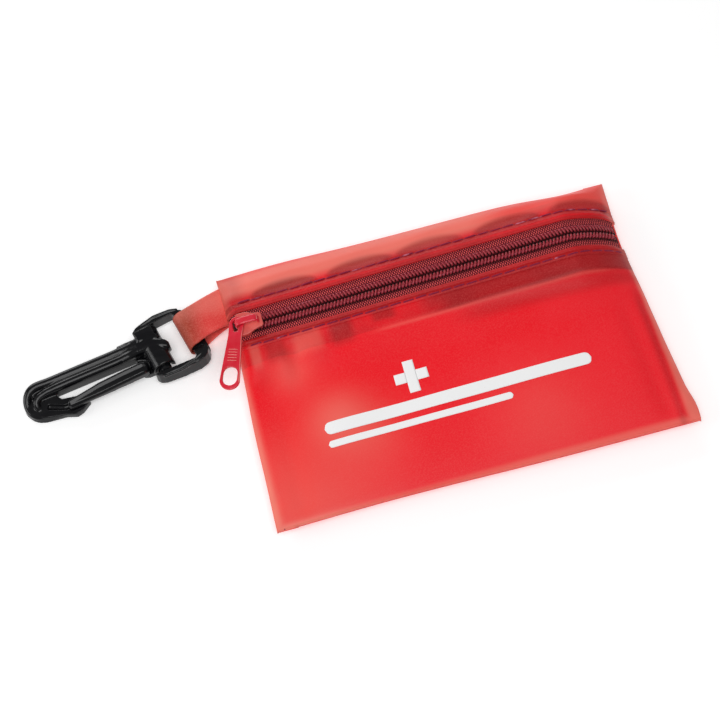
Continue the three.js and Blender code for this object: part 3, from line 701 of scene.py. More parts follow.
def tones(x, y):
    """How far the front vinyl is painted with shade, and with highlights and glows, at a place in
    millimetres; the hem terms are the tape seen darker through the folded vinyl.
    """
    # The hems: the tape seen darker through the folded double vinyl, with a lighter line left along the bead
    # as a painted highlight
    hem = 0.45 * between(y, 28.8, 32.3, 0.3) * (1 - 0.8 * bump(y, 30.1, 0.35))
    shade_and_hem_tone = hem + 0.5 * between(y, 16.3, 18.5, 0.3)
    above = smooth(33, 37, y)
    # Painted shade in the pillow dents above the upper stitches
    for centre, _, depth in DENTS:
        round_top = 32.3 + 4.4 * np.sqrt(np.maximum(0, 1 - ((x - centre) / 12) ** 2))
        dent_shade = between(y, 32.4, round_top, 1.1) * between(x, centre - 11, centre + 11, 2.0)
        shade_and_hem_tone = shade_and_hem_tone + 0.62 * depth * dent_shade
    # Band of creases below the zipper's left end, given painted shade and painted highlights in stripes
    high = between(y, 9, 16.3, 2.2)
    shade_and_hem_tone = shade_and_hem_tone + 0.4 * between(x, -56, -50, 1.5) * high + 0.55 * between(x, -35, -28, 1.8) * high
    # Painted shade on the slopes below the zipper and towards its left end
    shade_and_hem_tone = shade_and_hem_tone + 0.5 * between(x, -21, -14, 1.5) * between(y, 12.5, 16.3, 1.0)
    shade_and_hem_tone = shade_and_hem_tone + 0.62 * smooth(-8, 6, x) * between(y, 9.8, 16.3, 0.7)
    shade_and_hem_tone = shade_and_hem_tone + 0.3 * smooth(0, 15, x) * between(y, 4.5, 9.4, 2.0)
    shade_and_hem_tone = shade_and_hem_tone + 0.3 * smooth(-56, -62, x) * smooth(20, 36, y)
    # Painted highlights: the upper strip past the dents, stripes between the creases, a line along the tape's
    # edge and the lower left
    light = above * (0.8 - 0.45 * smooth(15, 35, x)) * (1 - 0.5 * smooth(42, 44.5, y))
    light = light + 0.4 * between(x, -61, -58, 0.8) * high + 0.3 * between(x, -47, -38, 1.5) * high
    light = light + 0.35 * bump(y, 9.7, 0.45) * smooth(-25, -15, x) * smooth(60, 50, x)
    light = light + 0.35 * smooth(-15, -60, x) * smooth(0, -40, y)
    for centre_x, centre_y, reach, strength in PAINTED_GLOWS:
        light = light + strength * bump(x, centre_x, reach) * bump(y, centre_y, reach)
    # Painted highlight along the rolled sides and bottom
    rim = np.minimum(66.5 - np.abs(x) - 1.5 * (x > 0), y + 44.5)
    light = light + 0.55 * smooth(2.8, 0.8, rim) * smooth(38, 30, y)
    # Painted shade in a fold low on the right side
    shade_and_hem_tone = shade_and_hem_tone + 0.3 * bump(x, 61.5, 1.3) * smooth(6, -6, y)
    return np.clip(shade_and_hem_tone, 0, 0.92), np.clip(light, 0, 0.9)


def add_tones(piece):
    # Stores the painted shade with the hems' see-through tone, and the painted highlights, per vertex for the
    # front vinyl's material
    places = np.array([v.co for v in piece.data.vertices]) / MM
    for name, values in zip(("shade_and_hem_tone", "light"), tones(places[:, 0], places[:, 1])):
        attribute = piece.data.attributes.new(name, "FLOAT", "POINT")
        attribute.data.foreach_set("value", values.astype(np.float32))


def back_outer(s, y):
    """Height of the back vinyl's underside: flat where it lies, rolled up to the seam."""
    edge = np.minimum((1 - np.abs(s)) * HALF_X, HALF_Y - np.abs(y))
    t = np.clip(edge / ROLL, 0, 1)
    rolled = (SEAM_Z - LIP) * (1 - np.sqrt(1 - (1 - t) ** 2))
    lifted = 0.12 * MM * (1 + np.sin(s * 9 + 1.0) * np.sin(y / (11 * MM)))
    return rolled + lifted * smooth(0, ROLL, edge) * 0.4


def across_pouch(count):
    """Columns across the pouch: (s, tuck) pairs, tuck past 0 for the turned seam allowance."""
    inner = np.sin(np.linspace(-1, 1, count) * math.pi / 2)
    inner = 0.55 * inner + 0.45 * np.linspace(-1, 1, count)
    tucks = np.concatenate([np.linspace(0.15, 1, 6), 1 + np.linspace(0.1, 1, 5)])
    s = np.concatenate([-np.ones(len(tucks)), inner, np.ones(len(tucks))])
    tuck = np.concatenate([tucks[::-1], np.zeros(count), tucks])
    return s, tuck


def turned_seam(x, z, s, tuck, up):
    """Rolls the side edge into the seam and runs the allowance inwards; up is 1 on the front sheet."""
    side = np.sign(s)
    curl = np.clip(tuck, 0, 1) * math.pi / 2
    x = x - side * LIP * (1 - np.cos(curl)) * (tuck > 0)
    x = x - side * ALLOWANCE * np.clip(tuck - 1, 0, 1)
    z = z - up * LIP * np.sin(curl) * (tuck > 0)
    return x, z + up * 0.03 * MM * (tuck > 0.99)


def seamed_grid(columns, rows, height, up):
    """A vinyl sheet's outer face, its side edges turned into the seams; up is 1 on the front."""
    s, tuck = across_pouch(columns)
    s_grid, y_grid = np.meshgrid(s, rows, indexing="ij")
    tuck_grid = np.broadcast_to(tuck[:, None], s_grid.shape)
    z = height(s_grid, y_grid)
    if up > 0:
        z = np.where(tuck_grid > 0, SEAM_Z + LIP + (z - SEAM_Z - LIP) * (1 - np.clip(tuck_grid, 0, 1)), z)
    x, y = outline_xy(s_grid, y_grid)
    x, z = turned_seam(x, z, s_grid, tuck_grid, up)
    return points_of(x, y, z)


def front_sheet(rows, hem):
    """Outer face of a front panel; hem is the side (-1 or 1) of the zipper whose edge is folded under."""
    points = seamed_grid(300, rows, front_outer, 1)
    fold = []
    radius = VINYL * 1.05
    edge = points[:, -1] if hem < 0 else points[:, 0]
    for angle in np.radians(np.linspace(20, 180, 9)):
        turned = edge.copy()
        turned[:, 1] -= hem * radius * math.sin(angle)
        turned[:, 2] -= radius * (1 - math.cos(angle))
        fold.append(turned)
    for reach in (0.8 * MM, 1.8 * MM, 2.8 * MM):
        turned = fold[8].copy()
        turned[:, 1] += hem * reach
        fold.append(turned)
    fold = np.stack(fold, 1)
    if hem < 0:
        return np.concatenate([points, fold], 1)
    return np.concatenate([fold[:, ::-1], points], 1)


def make_panels():
    near = ZIP_Y - WINDOW_LOWER - VINYL * 1.05
    steps = np.linspace(0, 1, 90)
    rows = -HALF_Y + (near + HALF_Y - 6 * MM) * (0.35 * steps**2 + 0.65 * steps)
    rows = np.concatenate([rows, np.linspace(rows[-1], near, 34)[1:]])
    lower = front_sheet(rows, hem=-1)
    near = ZIP_Y + WINDOW_UPPER + VINYL * 1.05
    rows = np.linspace(near, near + 6 * MM, 34)
    steps = np.linspace(0, 1, 40)[1:]
    rows = np.concatenate([rows, rows[-1] + (HALF_Y - rows[-1]) * (1.35 * steps - 0.35 * steps**2)])
    upper = front_sheet(rows, hem=1)
    lower[:, 0, 2] = SEAM_Z
    upper[:, -1, 2] = SEAM_Z
    for side, sheet in (("lower", lower), ("upper", upper)):
        piece = sheet_piece("vinyl_front_" + side, sheet, VINYL, VINYL_FRONT)
        add_tones(piece)
        belongs(piece, "pouch", f"front_{side}_panel")
    even = np.linspace(-1, 1, 110)
    rows = HALF_Y * (0.6 * np.sin(even * math.pi / 2) + 0.4 * even)
    back = seamed_grid(150, rows, back_outer, -1)
    back[:, [0, -1], 2] = SEAM_Z
    piece = sheet_piece("vinyl_back", back, VINYL, VINYL_BACK, inward=-1)
    belongs(piece, "pouch", "back_panel")


# ---------------------------------------------------------------- zipper
def make_tapes():
    s = np.linspace(-0.985, 0.985, 320)
    for side, node in ((-1, "zipper_tape_lower"), (1, "zipper_tape_upper")):
        offsets = np.linspace(0.42 * MM, TAPE_HALF, 42) * side
        s_grid, y_grid = np.meshgrid(s, ZIP_Y + offsets, indexing="ij")
        x, y = outline_xy(s_grid, y_grid)
        z = mid_surface(s_grid, y_grid)
        out = np.abs(offsets)
        bare = (out > COIL_OUTER) * (out < WINDOW_LOWER)
        ribs = 0.10 * MM * np.sin(out / (1.05 * MM) * 2 * math.pi) * bare
        outer = points_of(x, y, z + TAPE / 2 + ribs)
        inner = points_of(x, y, z - TAPE / 2)
        piece = new_object("woven_" + node, *shell_data(outer, inner), TAPE_WEAVE)
        belongs(piece, "pouch", node)


def zipper_x(s):
    return outline_xy(s, ZIP_Y)[0]


def make_coils():
    """Each half is one monofilament wound flat: the upper pass leans, the return pass lies under it."""
    length = 2 * HALF_X * 0.972
    turns = int(length / COIL_PITCH)
    steps = 14
    wire = 0.31 * MM
    for side, node in ((-1, "zipper_coil_lower"), (1, "zipper_coil_upper")):
        t = np.arange(turns * steps) / steps
        angle = 2 * math.pi * (t % 1)
        lean = np.where(angle < math.pi, angle / math.pi * 0.72, 0.72 + (angle / math.pi - 1) * 0.28)
        along = (np.floor(t) + lean + (0.5 if side > 0 else 0.0)) * COIL_PITCH
        s = (along - length / 2) / HALF_X
        low, high = 0.62 * MM, COIL_OUTER - wire * 0.9
        reach = (low + high) / 2 + (high - low) / 2 * np.cos(angle)
        base = mid_surface(s, ZIP_Y) + TAPE / 2 + COIL_CLEAR
        height = base + wire + 0.42 * MM * (1 + signed_power(np.sin(angle), 0.75))
        path = points_of(zipper_x(s), ZIP_Y + side * reach, height)
        centre = points_of(zipper_x(s), ZIP_Y + side * (low + high) / 2, base + 0.73 * MM)
        piece = new_object("nylon_" + node, *tube_data(path, wire, 7, path - centre), COIL_NYLON)
        sewn = []
        for k in range(turns):
            middle = (k + 0.9 - length / COIL_PITCH / 2) * COIL_PITCH / HALF_X
            spread = middle + np.linspace(-0.5, 0.5, 5) * 0.62 * COIL_PITCH / HALF_X
            top = mid_surface(spread, ZIP_Y) + TAPE / 2 + COIL_CLEAR + 1.02 * MM
            bow = 0.16 * MM * np.cos(np.linspace(-0.5, 0.5, 5) * math.pi)
            across = ZIP_Y + side * (COIL_OUTER - 0.42 * MM)
            sewn.append(tube_data(points_of(zipper_x(spread), across, top + bow), 0.13 * MM, 5))
        lockstitch = new_object("coil_sewing_" + ("upper" if side > 0 else "lower"), *joined(sewn), THREAD)
        belongs(piece, "pouch", node)
        belongs(lockstitch, "pouch")


def make_stitching():
    """One short thread per stitch, dipping into the vinyl at both needle holes."""
    for offset, node in ((-STITCH_LOWER, "stitching_lower"), (STITCH_UPPER, "stitching_upper")):
        y = ZIP_Y + offset
        parts = []
        for k in range(-15, 15):
            share = np.linspace(0.06, 0.94, 9)
            nominal = (k + 0.5 + share) * STITCH
            s = nominal / HALF_X
            keep = np.abs(s) < 0.972
            if keep.sum() < 4:
                continue
            s, share = s[keep], share[keep]
            x = outline_xy(s, y)[0]
            z = front_outer(s, np.full_like(s, y)) + 0.48 * MM
            z = z - 0.6 * MM * (np.abs(share - 0.5) * 2) ** 8
            drift = 0.10 * MM * math.sin(k * 2.4) + 0.16 * MM * (share - 0.5)
            parts.append(tube_data(points_of(x, y + drift, z), 0.27 * MM, 8))
        belongs(new_object("thread_" + node, *joined(parts), THREAD), "pouch", node)
    for side, node in ((-1, "side_seam_left"), (1, "side_seam_right")):
        parts = []
        count = 21
        for k in range(count):
            y = -HALF_Y + (k + np.linspace(0.1, 0.9, 7)) * 2 * HALF_Y / count
            x = outline_xy(np.full_like(y, side), y)[0] - side * 2.4 * MM
            z = SEAM_Z + VINYL + 0.10 * MM - 0.2 * MM * np.abs(np.linspace(-1, 1, 7)) ** 6
            parts.append(tube_data(points_of(x, y, z), 0.17 * MM, 6))
        belongs(new_object("thread_" + node, *joined(parts), THREAD), "pouch", node)


# ---------------------------------------------------------------- slider and pull tab
TAB_JOINT = joint("tab_swing")
TAB_PIVOT = Vector(TAB_JOINT["pos_m"])
SLIDER_UP = Vector(TAB_JOINT["axis"])
TAB_LENGTH = 22.6 * MM  # from the leg it turns round to its free end
TAB_REST = Vector((-4.2 * MM, 0, 3.95 * MM))  # where it hangs from the crown, in the slider's own frame
TAB_YAW = math.radians(19)


def slider_matrix():
    across = SLIDER_UP.cross(ZIP_AXIS)
    turn = Matrix((ZIP_AXIS, across, SLIDER_UP)).transposed()
    origin = TAB_PIVOT - turn @ TAB_REST
    return Matrix.Translation(origin) @ turn.to_4x4()


def make_slider():
    """Two plates joined by flanges and a post, and a flat-topped crown that the pull tab hangs from."""
    half = [
        *arc(3.0 * MM, 1.6 * MM, 0.9 * MM, 0, 90, 4),
        (1.9 * MM, 2.65 * MM),
        (0.6 * MM, 3.1 * MM),
        (-0.6 * MM, 3.75 * MM),
        (-1.8 * MM, 3.95 * MM),
        *arc(-3.3 * MM, 2.8 * MM, 1.1 * MM, 90, 180, 4),
    ]
    plate = half + [(x, -y) for x, y in reversed(half)]
    parts = [prism_data(plate, 2.2 * MM, 3.1 * MM), prism_data(plate, -1.35 * MM, -0.62 * MM)]
    for x0, x1, y0, y1, low in (
        (-3.6, -0.4, -3.6, -2.95, 0.55),
        (-3.6, -0.4, 2.95, 3.6, 0.55),
        (-3.9, -1.2, -0.28, 0.28, -0.8),
    ):
        corners = [(x * MM, y * MM) for x, y in ((x0, y0), (x1, y0), (x1, y1), (x0, y1))]
        parts.append(prism_data(corners, low * MM, 2.4 * MM))
    plates = fused("painted_slider", parts, 0.11 * MM, 4, SLIDER_PAINT_LIT, keep=0.55)
    leg = np.array([[2.6, 2.9], [2.6, 3.8], [2.3, 4.7], [1.5, 5.15], [0, 5.3], [-2.6, 5.3],
                    [-3.8, 5.0], [-4.4, 4.3], [-4.45, 3.6], [-4.3, 2.8]]) * MM
    t = np.linspace(0, len(leg) - 1, 61)
    x, z = (np.interp(t, range(len(leg)), leg[:, k]) for k in (0, 1))
    curve = relaxed(points_of(x, 0, z), 6)
    tangent = np.gradient(curve, axis=0)
    tangent /= np.linalg.norm(tangent, axis=1, keepdims=True)
    up = np.cross(tangent, [0, 1, 0])
    turn = np.linspace(0, 2 * math.pi, 19)[:-1]
    width = (1.25 * MM * signed_power(np.cos(turn), 0.6))[None, :, None]
    depth = (0.42 * MM * signed_power(np.sin(turn), 0.8))[None, :, None]
    rings = curve[:, None] + width * np.array([0, 1, 0]) + depth * up[:, None]
    crown = fused("painted_crown", [loft_data(rings)], 0.09 * MM, 3, TAB_PAINT, keep=0.6)
    for piece, node in ((plates, "slider_body"), (crown, None)):
        piece.data.transform(slider_matrix())
        belongs(piece, "slider", node)


def make_tab():
    """A long tab with a teardrop eye, five grip ribs and a finger hole at its free end."""
    end_r, neck = 3.2 * MM, 2.2 * MM
    end_y = -(TAB_LENGTH - end_r)
    eye_top, eye_drop = 1.38 * MM, 2.1 * MM
    outline = [
        *arc(0, 0, 2.35 * MM, -5, 185, 20),
        (-neck, -4.6 * MM),
        *arc(0, end_y, end_r, 184, 356, 26),
        (neck, -4.6 * MM),
    ]
    eye = arc(0, 0, eye_top, 0, 180, 14) + arc(0, -eye_drop, 0.85 * MM, 180, 360, 14)
    hole_half, straight = 2.25 * MM, 0.9 * MM
    hole_y = end_y + straight + 0.45 * MM
    hole = [
        *arc(0, hole_y + straight, hole_half, 0, 180, 16),
        *arc(0, hole_y - straight, hole_half, 180, 360, 16),
    ]
    thickness = 1.08 * MM
    tab = flat_plate("painted_pull_tab", outline, [eye, hole], thickness, 0.26 * MM, TAB_PAINT)
    smooth_shaded(tab)
    tab.data.set_sharp_from_angle(angle=math.radians(35))
    ribs = []
    for k in range(5):
        y = hole_y + (5.2 + k * 0.95) * MM
        rib = np.array([(x, y, thickness / 2 - 0.02 * MM) for x in np.linspace(-1.5, 1.5, 9) * MM])
        ribs.append(tube_data(rib, 0.17 * MM * np.sin(np.linspace(0.35, math.pi - 0.35, 9)), 8))
    grip = new_object("painted_grip_ribs", *joined(ribs), TAB_PAINT)
    local = Matrix.Translation(TAB_REST) @ Matrix.Rotation(-TAB_YAW, 4, "Z")
    for piece, node in ((tab, "pull_tab"), (grip, None)):
        piece.data.transform(slider_matrix() @ local)
        belongs(piece, "tab", node)


# ---------------------------------------------------------------- strap, ring and hook
RING_TURN, HOOK_TURN = math.radians(15), math.radians(9.5)
BAR = Vector(joint("ring_swing")["pos_m"])
AXLE = Vector(joint("hook_swing")["pos_m"])
CLIP_Z = BAR.z


def clip_matrix(origin, turn, height):
    """X across the clip towards +Y, Y along it away from the pouch, Z up."""
    across = Vector((-math.sin(turn), math.cos(turn), 0))
    along = Vector((-math.cos(turn), -math.sin(turn), 0))
    basis = Matrix((across, along, Vector((0, 0, 1)))).transposed()
    return Matrix.Translation((origin.x, origin.y, height)) @ basis.to_4x4()


def ab(points):
    """Outline points given as (along, across) in millimetres."""
    return [(b * MM, a * MM) for a, b in points]


def ab_path(points):
    """Path points given as (along, across, height) in millimetres."""
    return np.array([(b * MM, a * MM, z * MM) for a, b, z in points])


def eased_path(points, count=80, rounds=10):
    """Evenly spaced points along a path, with its corners eased."""
    points = ab_path(points)
    spans = np.linalg.norm(np.diff(points, axis=0), axis=1)
    at = np.concatenate([[0], np.cumsum(spans)])
    t = np.linspace(0, at[-1], count)
    return relaxed(np.stack([np.interp(t, at, points[:, k]) for k in range(3)], -1), rounds)


# The ring's arms as (along, across) in millimetres: inner side, then outer side.
FAR_ARM = (
    [(10.9, 8.9), (-2.8, 8.9), (-3.6, 8.3), (-3.6, 7.6)],
    [(-7.3, 7.8), (-6.5, 9.2), (-4.2, 10.7), (-1.5, 11.5), (2.4, 11.8), (6.3, 11.5), (9.4, 10.8),
     (10.4, 10.1)],
)
NEAR_ARM = (
    [(10.9, -7.8), (-2.8, -9.2), (-3.6, -8.6), (-3.6, -7.6)],
    [(-8.4, -7.8), (-8.2, -8.8), (-7.3, -10.3), (-5.8, -11.3), (-3.2, -11.8), (2.7, -11.4), (8.4, -10.5),
     (10, -9.7), (10.7, -8.7)],
)
ARM_HALF = 2.3  # half the arms' height, in millimetres
BEND_A, BEND_B, BEND_R = 39.0, 0.5, 6.7  # the hook's bend, in millimetres from the axle
FOOT, PLATE_TOP = 0.05, 2.4  # heights of the hook's underside and its nose plate, in millimetres


def make_ring():
    """A flat bar in the strap, two tall arms with sloping outer walls, and the round cross-member."""
    along = (AXLE - BAR).normalized()
    centre = BAR + along * 6.1 * MM
    parts = []
    for inner, outer in (FAR_ARM, NEAR_ARM):
        side = 1 if outer[0][1] > 0 else -1
        top = [(a * 0.985, b - side * 0.7) for a, b in outer]
        levels = ((outer, -ARM_HALF), (top, ARM_HALF))
        parts.append(loft_data([ab_path([(*p, z) for p in inner + rim]) for rim, z in levels]))
        ridge = [(-5.5, 9.2, 1.9), (-3, 10.2, 2.15), (2.5, 10.8, 2.2), (8.5, 9.9, 1.9)]
        parts.append(tube_data(eased_path([(a, side * b, z) for a, b, z in ridge]), 0.55 * MM, 10))
    flat_bar = ab([(-8.6, -8.2), (-3.6, -8.2), (-3.6, 8.0), (-8.6, 8.0)])
    parts.append(prism_data(flat_bar, -1.25 * MM, 1.25 * MM))
    cross_member = ab_path([(6.9, b, 0) for b in np.linspace(-9.6, 9.8, 12)])
    parts.append(tube_data(cross_member, 2.15 * MM, 28))
    ring = fused("black_clip_ring", parts, 0.19 * MM, 5, BLACK_PLASTIC, keep=0.5)
    loops = []
    for b in (-6.8, 6.0):
        turn = np.linspace(0, 2 * math.pi, 25)
        loop = points_of(b + 1.1 * np.cos(turn), -6.4 + 1.1 * np.sin(turn), 1.24)
        loops.append(tube_data(loop * MM, 0.09 * MM, 6))
    ejector = new_object("ring_ejector_marks", *joined(loops), BLACK_PLASTIC)
    for piece, node in ((ring, "clip_ring"), (ejector, None)):
        piece.data.transform(clip_matrix(centre, RING_TURN, CLIP_Z))
        belongs(piece, "ring", node)


def bar_across(section, low, high):
    """A section given as (along, height) in millimetres, run across the clip from low to high."""
    verts, faces = prism_data([(a * MM, z * MM) for a, z in section], low * MM, high * MM)
    return verts[:, [2, 0, 1]], faces


def turned(data, matrix):
    verts, faces = data
    return np.array([matrix @ Vector(v) for v in verts]), faces


def hook_cutters(skew):
    """The sleeve's bore, its mouth that snaps over the cross-member, and the slot in the nose plate."""
    axle = [(0, b, CLIP_Z / MM) for b in (-20, 0, 20)]
    bore = turned(tube_data(ab_path(axle), 2.35 * MM, 40), skew)
    lean, half, reach = math.radians(48), 1.6, 7.0
    corners = []
    for depth, side in ((0, -half), (0, half), (reach, half), (reach, -half)):
        along = side * math.cos(lean) - depth * math.sin(lean)
        corners.append((along, CLIP_Z / MM - side * math.sin(lean) - depth * math.cos(lean)))
    mouth = turned(bar_across(corners, -20, 20), skew)
    slot = tube_data(ab_path([(38.2, -2.0, 2.5), (33.3, -4.5, 2.5), (29.0, -5.0, 2.5)]), 0.95 * MM, 16)
    return [new_object("cutter", *data, None) for data in (bore, mouth, slot)]


def bend_arc(radius, end):
    """Seven points round the hook's bend, from its far side to an angle in degrees."""
    return arc(BEND_A, BEND_B, radius, 90, end, 6)


def make_hook():
    """Heights from the surface: a two-bead shank and bend, a low nose plate, and a sleeve on the axle."""
    skew = Matrix.Rotation(RING_TURN - HOOK_TURN, 4, "Z")
    start, end = [(1.2, 6.4), (4, BEND_B + BEND_R)], [(36.0, 1.2), (34.2, 0.95), (6, 0.95), (1.2, -1.2)]
    low = [*start, *bend_arc(6.7, 30), (43.6, 2.4), (41.6, 0.2), (40.3, -0.4), (39.8, 1.0), *end]
    high = [*start, *bend_arc(6.7, 54), (41.9, 3.6), (40.6, 2.2), (39.9, 1.4), (39.4, 1.4), *end]
    shank = [ab_path([(*p, z) for p in line]) for line, z in ((low, FOOT), (high, 3.7))]
    tip = [
        ((42.4, 6.3), (42.0, 5.4)), ((44.5, 4.3), (43.6, 3.8)), ((45.6, 1.7), (44.0, 1.5)),
        ((45.5, -1.2), (43.8, -0.8)), ((44.1, -3.8), (42.6, -3.0)), ((42.4, -5.3), (41.2, -4.4)),
        ((40.2, -6.1), (39.2, -5.4)), ((33.8, -7.1), (33.8, -6.9)), ((30.6, -8.5), (30.6, -8.3)),
        ((28.4, -8.0), (28.4, -7.9)), ((25.2, -5.9), (25.2, -5.8)), ((25.3, -2.9), (25.3, -2.9)),
        ((33.2, -1.2), (33.2, -1.2)), ((34.4, 0.75), (34.4, 0.75)), ((36.0, 3.0), (36.0, 3.0)),
    ]
    foot = ab_path([(*p, FOOT) for p, _ in tip])
    face = ab_path([(*p, PLATE_TOP) for _, p in tip])
    parts = [loft_data(shank), loft_data([foot, face])]
    outer = [(6, 5.0, 4.9), (10, 5.2, 4.1), (14, 5.3, 3.75), (BEND_A - 4, 5.35, 3.65)]
    for turn in range(90, -86, -10):
        t = math.radians(turn)
        height = np.interp(turn, [-85, -40, 0, 20, 40, 60, 90], [1.05, 1.2, 1.55, 2.1, 2.95, 3.55, 3.65])
        outer.append((BEND_A + 5.1 * math.cos(t), BEND_B + 5.1 * math.sin(t), height))
    inner = [(5, 2.4, 5.4), (8, 2.5, 4.4), (12, 2.55, 3.75), (30, 2.55, 3.65), (37.0, 2.4, 3.65),
             (39.6, 1.8, 3.6), (41.0, 0.7, 3.3), (41.2, -0.8, 2.6), (40.6, -2.0, 1.4)]
    slimming = np.interp(np.linspace(0, 1, 170), [0, 0.7, 0.86, 1], [1.6, 1.6, 1.2, 0.95]) * MM
    for bead in (outer, inner):
        parts.append(tube_data(eased_path(bead, 170, 6), slimming, 18))
    head = [
        # along, across, half width, height above 2.8
        (11.0, 4.1, 3.0, 2.2), (8.0, 4.0, 3.1, 2.9), (5.0, 3.7, 3.0, 4.3), (2.0, 2.9, 2.7, 5.0),
        (-0.5, 1.9, 2.5, 5.3), (-2.8, 0.9, 2.2, 5.1), (-4.2, 0.2, 1.8, 4.6), (-4.9, -0.1, 1.1, 3.9),
    ]
    turn = np.linspace(0, 2 * math.pi, 29)[:-1]
    rings = []
    for a, b, half, top in head:
        height = signed_power(np.sin(turn), 0.7)
        z = 5.0 + np.where(height > 0, top - 2.2, 2.2) * height
        rings.append(points_of(b + half * signed_power(np.cos(turn), 0.7), a, z) * MM)
    parts.append(loft_data(rings))
    root = [(1.0, 2.0), (6.5, 2.0), (7.4, -1.6), (7.2, -4.0), (6.4, -5.1), (5.0, -5.6), (1.0, -5.6)]
    parts.append(prism_data(ab(root), FOOT * MM, PLATE_TOP * MM))
    sleeve = [(0.0, b, CLIP_Z / MM) for b in np.linspace(-6.6, 8.2, 18)]
    sleeve = tube_data(ab_path(sleeve), 3.8 * MM, 40)
    shoulder = bar_across([(-2.4, 4), (-2.4, 7.3), (-1.8, 7.8), (3.4, 7.8), (4, 7.3), (4, 2)], 4.6, 8.2)
    parts.extend(turned(data, skew) for data in (sleeve, shoulder))
    hook = new_object("black_hook", *joined(parts), BLACK_PLASTIC)
    cutters = hook_cutters(skew)
    remeshed(hook, 0.2 * MM)
    for cutter in cutters:
        cut = hook.modifiers.new("cut", "BOOLEAN")
        cut.operation = "DIFFERENCE"
        cut.solver = "EXACT"
        cut.object = cutter
    remeshed(hook, 0.2 * MM)
    softened(hook, 7, 1.0)
    for cutter in cutters:
        bpy.data.objects.remove(cutter)
    hook.data.materials.clear()
    hook.data.materials.append(BLACK_PLASTIC)
    hook.data.transform(clip_matrix(AXLE, HOOK_TURN, 0))
    belongs(hook, "hook", "hook_body")


def make_gate():
    """A tongue from its root beside the sleeve: level on top, with a low ridge along its far side."""
    stations = [
        # along, far side, near side, top
        (3.9, -3.0, -4.6, 5.0), (4.6, -2.2, -5.6, 6.1), (5.9, -1.9, -6.0, 6.5), (12.0, -2.0, -6.2, 6.3),
        (20.5, -2.3, -6.4, 5.7), (31.0, -4.0, -6.5, 5.3), (31.7, -4.4, -6.3, 4.8), (32.0, -4.8, -5.9, 4.2),
    ]
    rings, low = [], 2.85
    for a, far, near, top in stations:
        ridge = far + 0.2 * (near - far)
        section = [(near, low), (near, top - 1.5), (near + 0.6, top - 0.65), (ridge - 1.0, top - 0.45),
                   (ridge - 0.2, top), (ridge + 0.3, top), (far, top - 0.8), (far, low)]
        rings.append(ab_path([(a, b, z) for b, z in section]))
    gate = fused("black_gate", [loft_data(rings)], 0.15 * MM, 9, BLACK_PLASTIC, keep=0.6)
    gate.data.transform(clip_matrix(AXLE, HOOK_TURN, 0))
    belongs(gate, "gate", "hook_gate")


def make_strap():
    """One strip of vinyl out of the side seam, round the ring's bar and back in under itself."""
    half, narrowing, loop_r = 7 * MM, 0.93, 3.35 * MM
    seam_y, bar_offset = 34.8 * MM, 0.85 * MM
    upper_z, lower_z = SEAM_Z + 0.27 * MM, SEAM_Z - 0.27 * MM
    legs = np.linspace(0, 1, 26)[:-1]
    turn = np.linspace(math.pi / 2, -math.pi / 2, 40)
    t = np.concatenate([legs, np.ones(40), legs[::-1]])
    under = np.concatenate([0 * legs, (1 - np.sin(turn)) / 2, np.ones(25)])
    ease = 0.35 * t * t * (3 - 2 * t) + 0.65 * t
    lift = np.concatenate([
        upper_z + (CLIP_Z + loop_r - upper_z) * (1.25 * legs - 0.25 * legs**2),
        CLIP_Z + loop_r * np.sin(turn),
        lower_z + (CLIP_Z - loop_r - lower_z) * legs[::-1],
    ])
    forward = np.concatenate([0 * legs, loop_r * np.cos(turn), 0 * legs])
    v = np.linspace(-1, 1, 22)
    along = np.array([-math.cos(RING_TURN), -math.sin(RING_TURN)])
    across = np.array([-math.sin(RING_TURN), math.cos(RING_TURN)])
    sideways = v[None, :] * half * narrowing + bar_offset - 0.3 * MM * under[:, None]
    at_bar = np.array([BAR.x, BAR.y]) + forward[:, None, None] * along + sideways[..., None] * across
    seam = seam_y + v * half
    at_seam = np.stack([outline_xy(np.full_like(seam, -1.0), seam)[0] + 0.55 * MM, seam], -1)[None]
    plan = at_seam + (at_bar - at_seam) * ease[:, None, None]
    swoop = 0.6 * MM * np.maximum(0, -v[None, :]) ** 2 * np.sin(t * math.pi)[:, None]
    plan = plan + swoop[..., None] * across
    curl = 0.25 * MM * v[None, :] ** 4 * (t < 1)[:, None] * np.sin(t * math.pi)[:, None]
    middle = np.concatenate([plan, (lift[:, None] + curl)[..., None]], -1)
    strap = centred_sheet("folded_strap", middle, VINYL, STRAP_VINYL)
    belongs(strap, "pouch", "hanging_strap")


# ---------------------------------------------------------------- printed mark and supplies
def printed_bar(x0, x1, y0, y1, round_ends):
    """A patch of ink that lies on the vinyl's outer face."""
    u = np.linspace(0, 1, max(8, int((x1 - x0) / (0.5 * MM))))
    v = np.linspace(-1, 1, max(6, int((y1 - y0) / (0.4 * MM))))
    half = (y1 - y0) / 2
    x = x0 + (x1 - x0) * u
    width = np.full_like(u, half)
    if round_ends:
        inside = np.minimum(x - x0, x1 - x)
        width = np.sqrt(np.maximum(0, half**2 - np.maximum(0, half - inside) ** 2))
        width = np.maximum(width, 0.05 * MM)
    s_grid = np.broadcast_to((x / HALF_X)[:, None], (len(u), len(v)))
    y_grid = (y0 + y1) / 2 + width[:, None] * v[None, :]
    top = front_outer(s_grid, y_grid) + 0.05 * MM
    px, py = outline_xy(s_grid, y_grid)
    outer = points_of(px, py, top)
    return shell_data(outer, outer - np.array([0, 0, 0.03 * MM]))


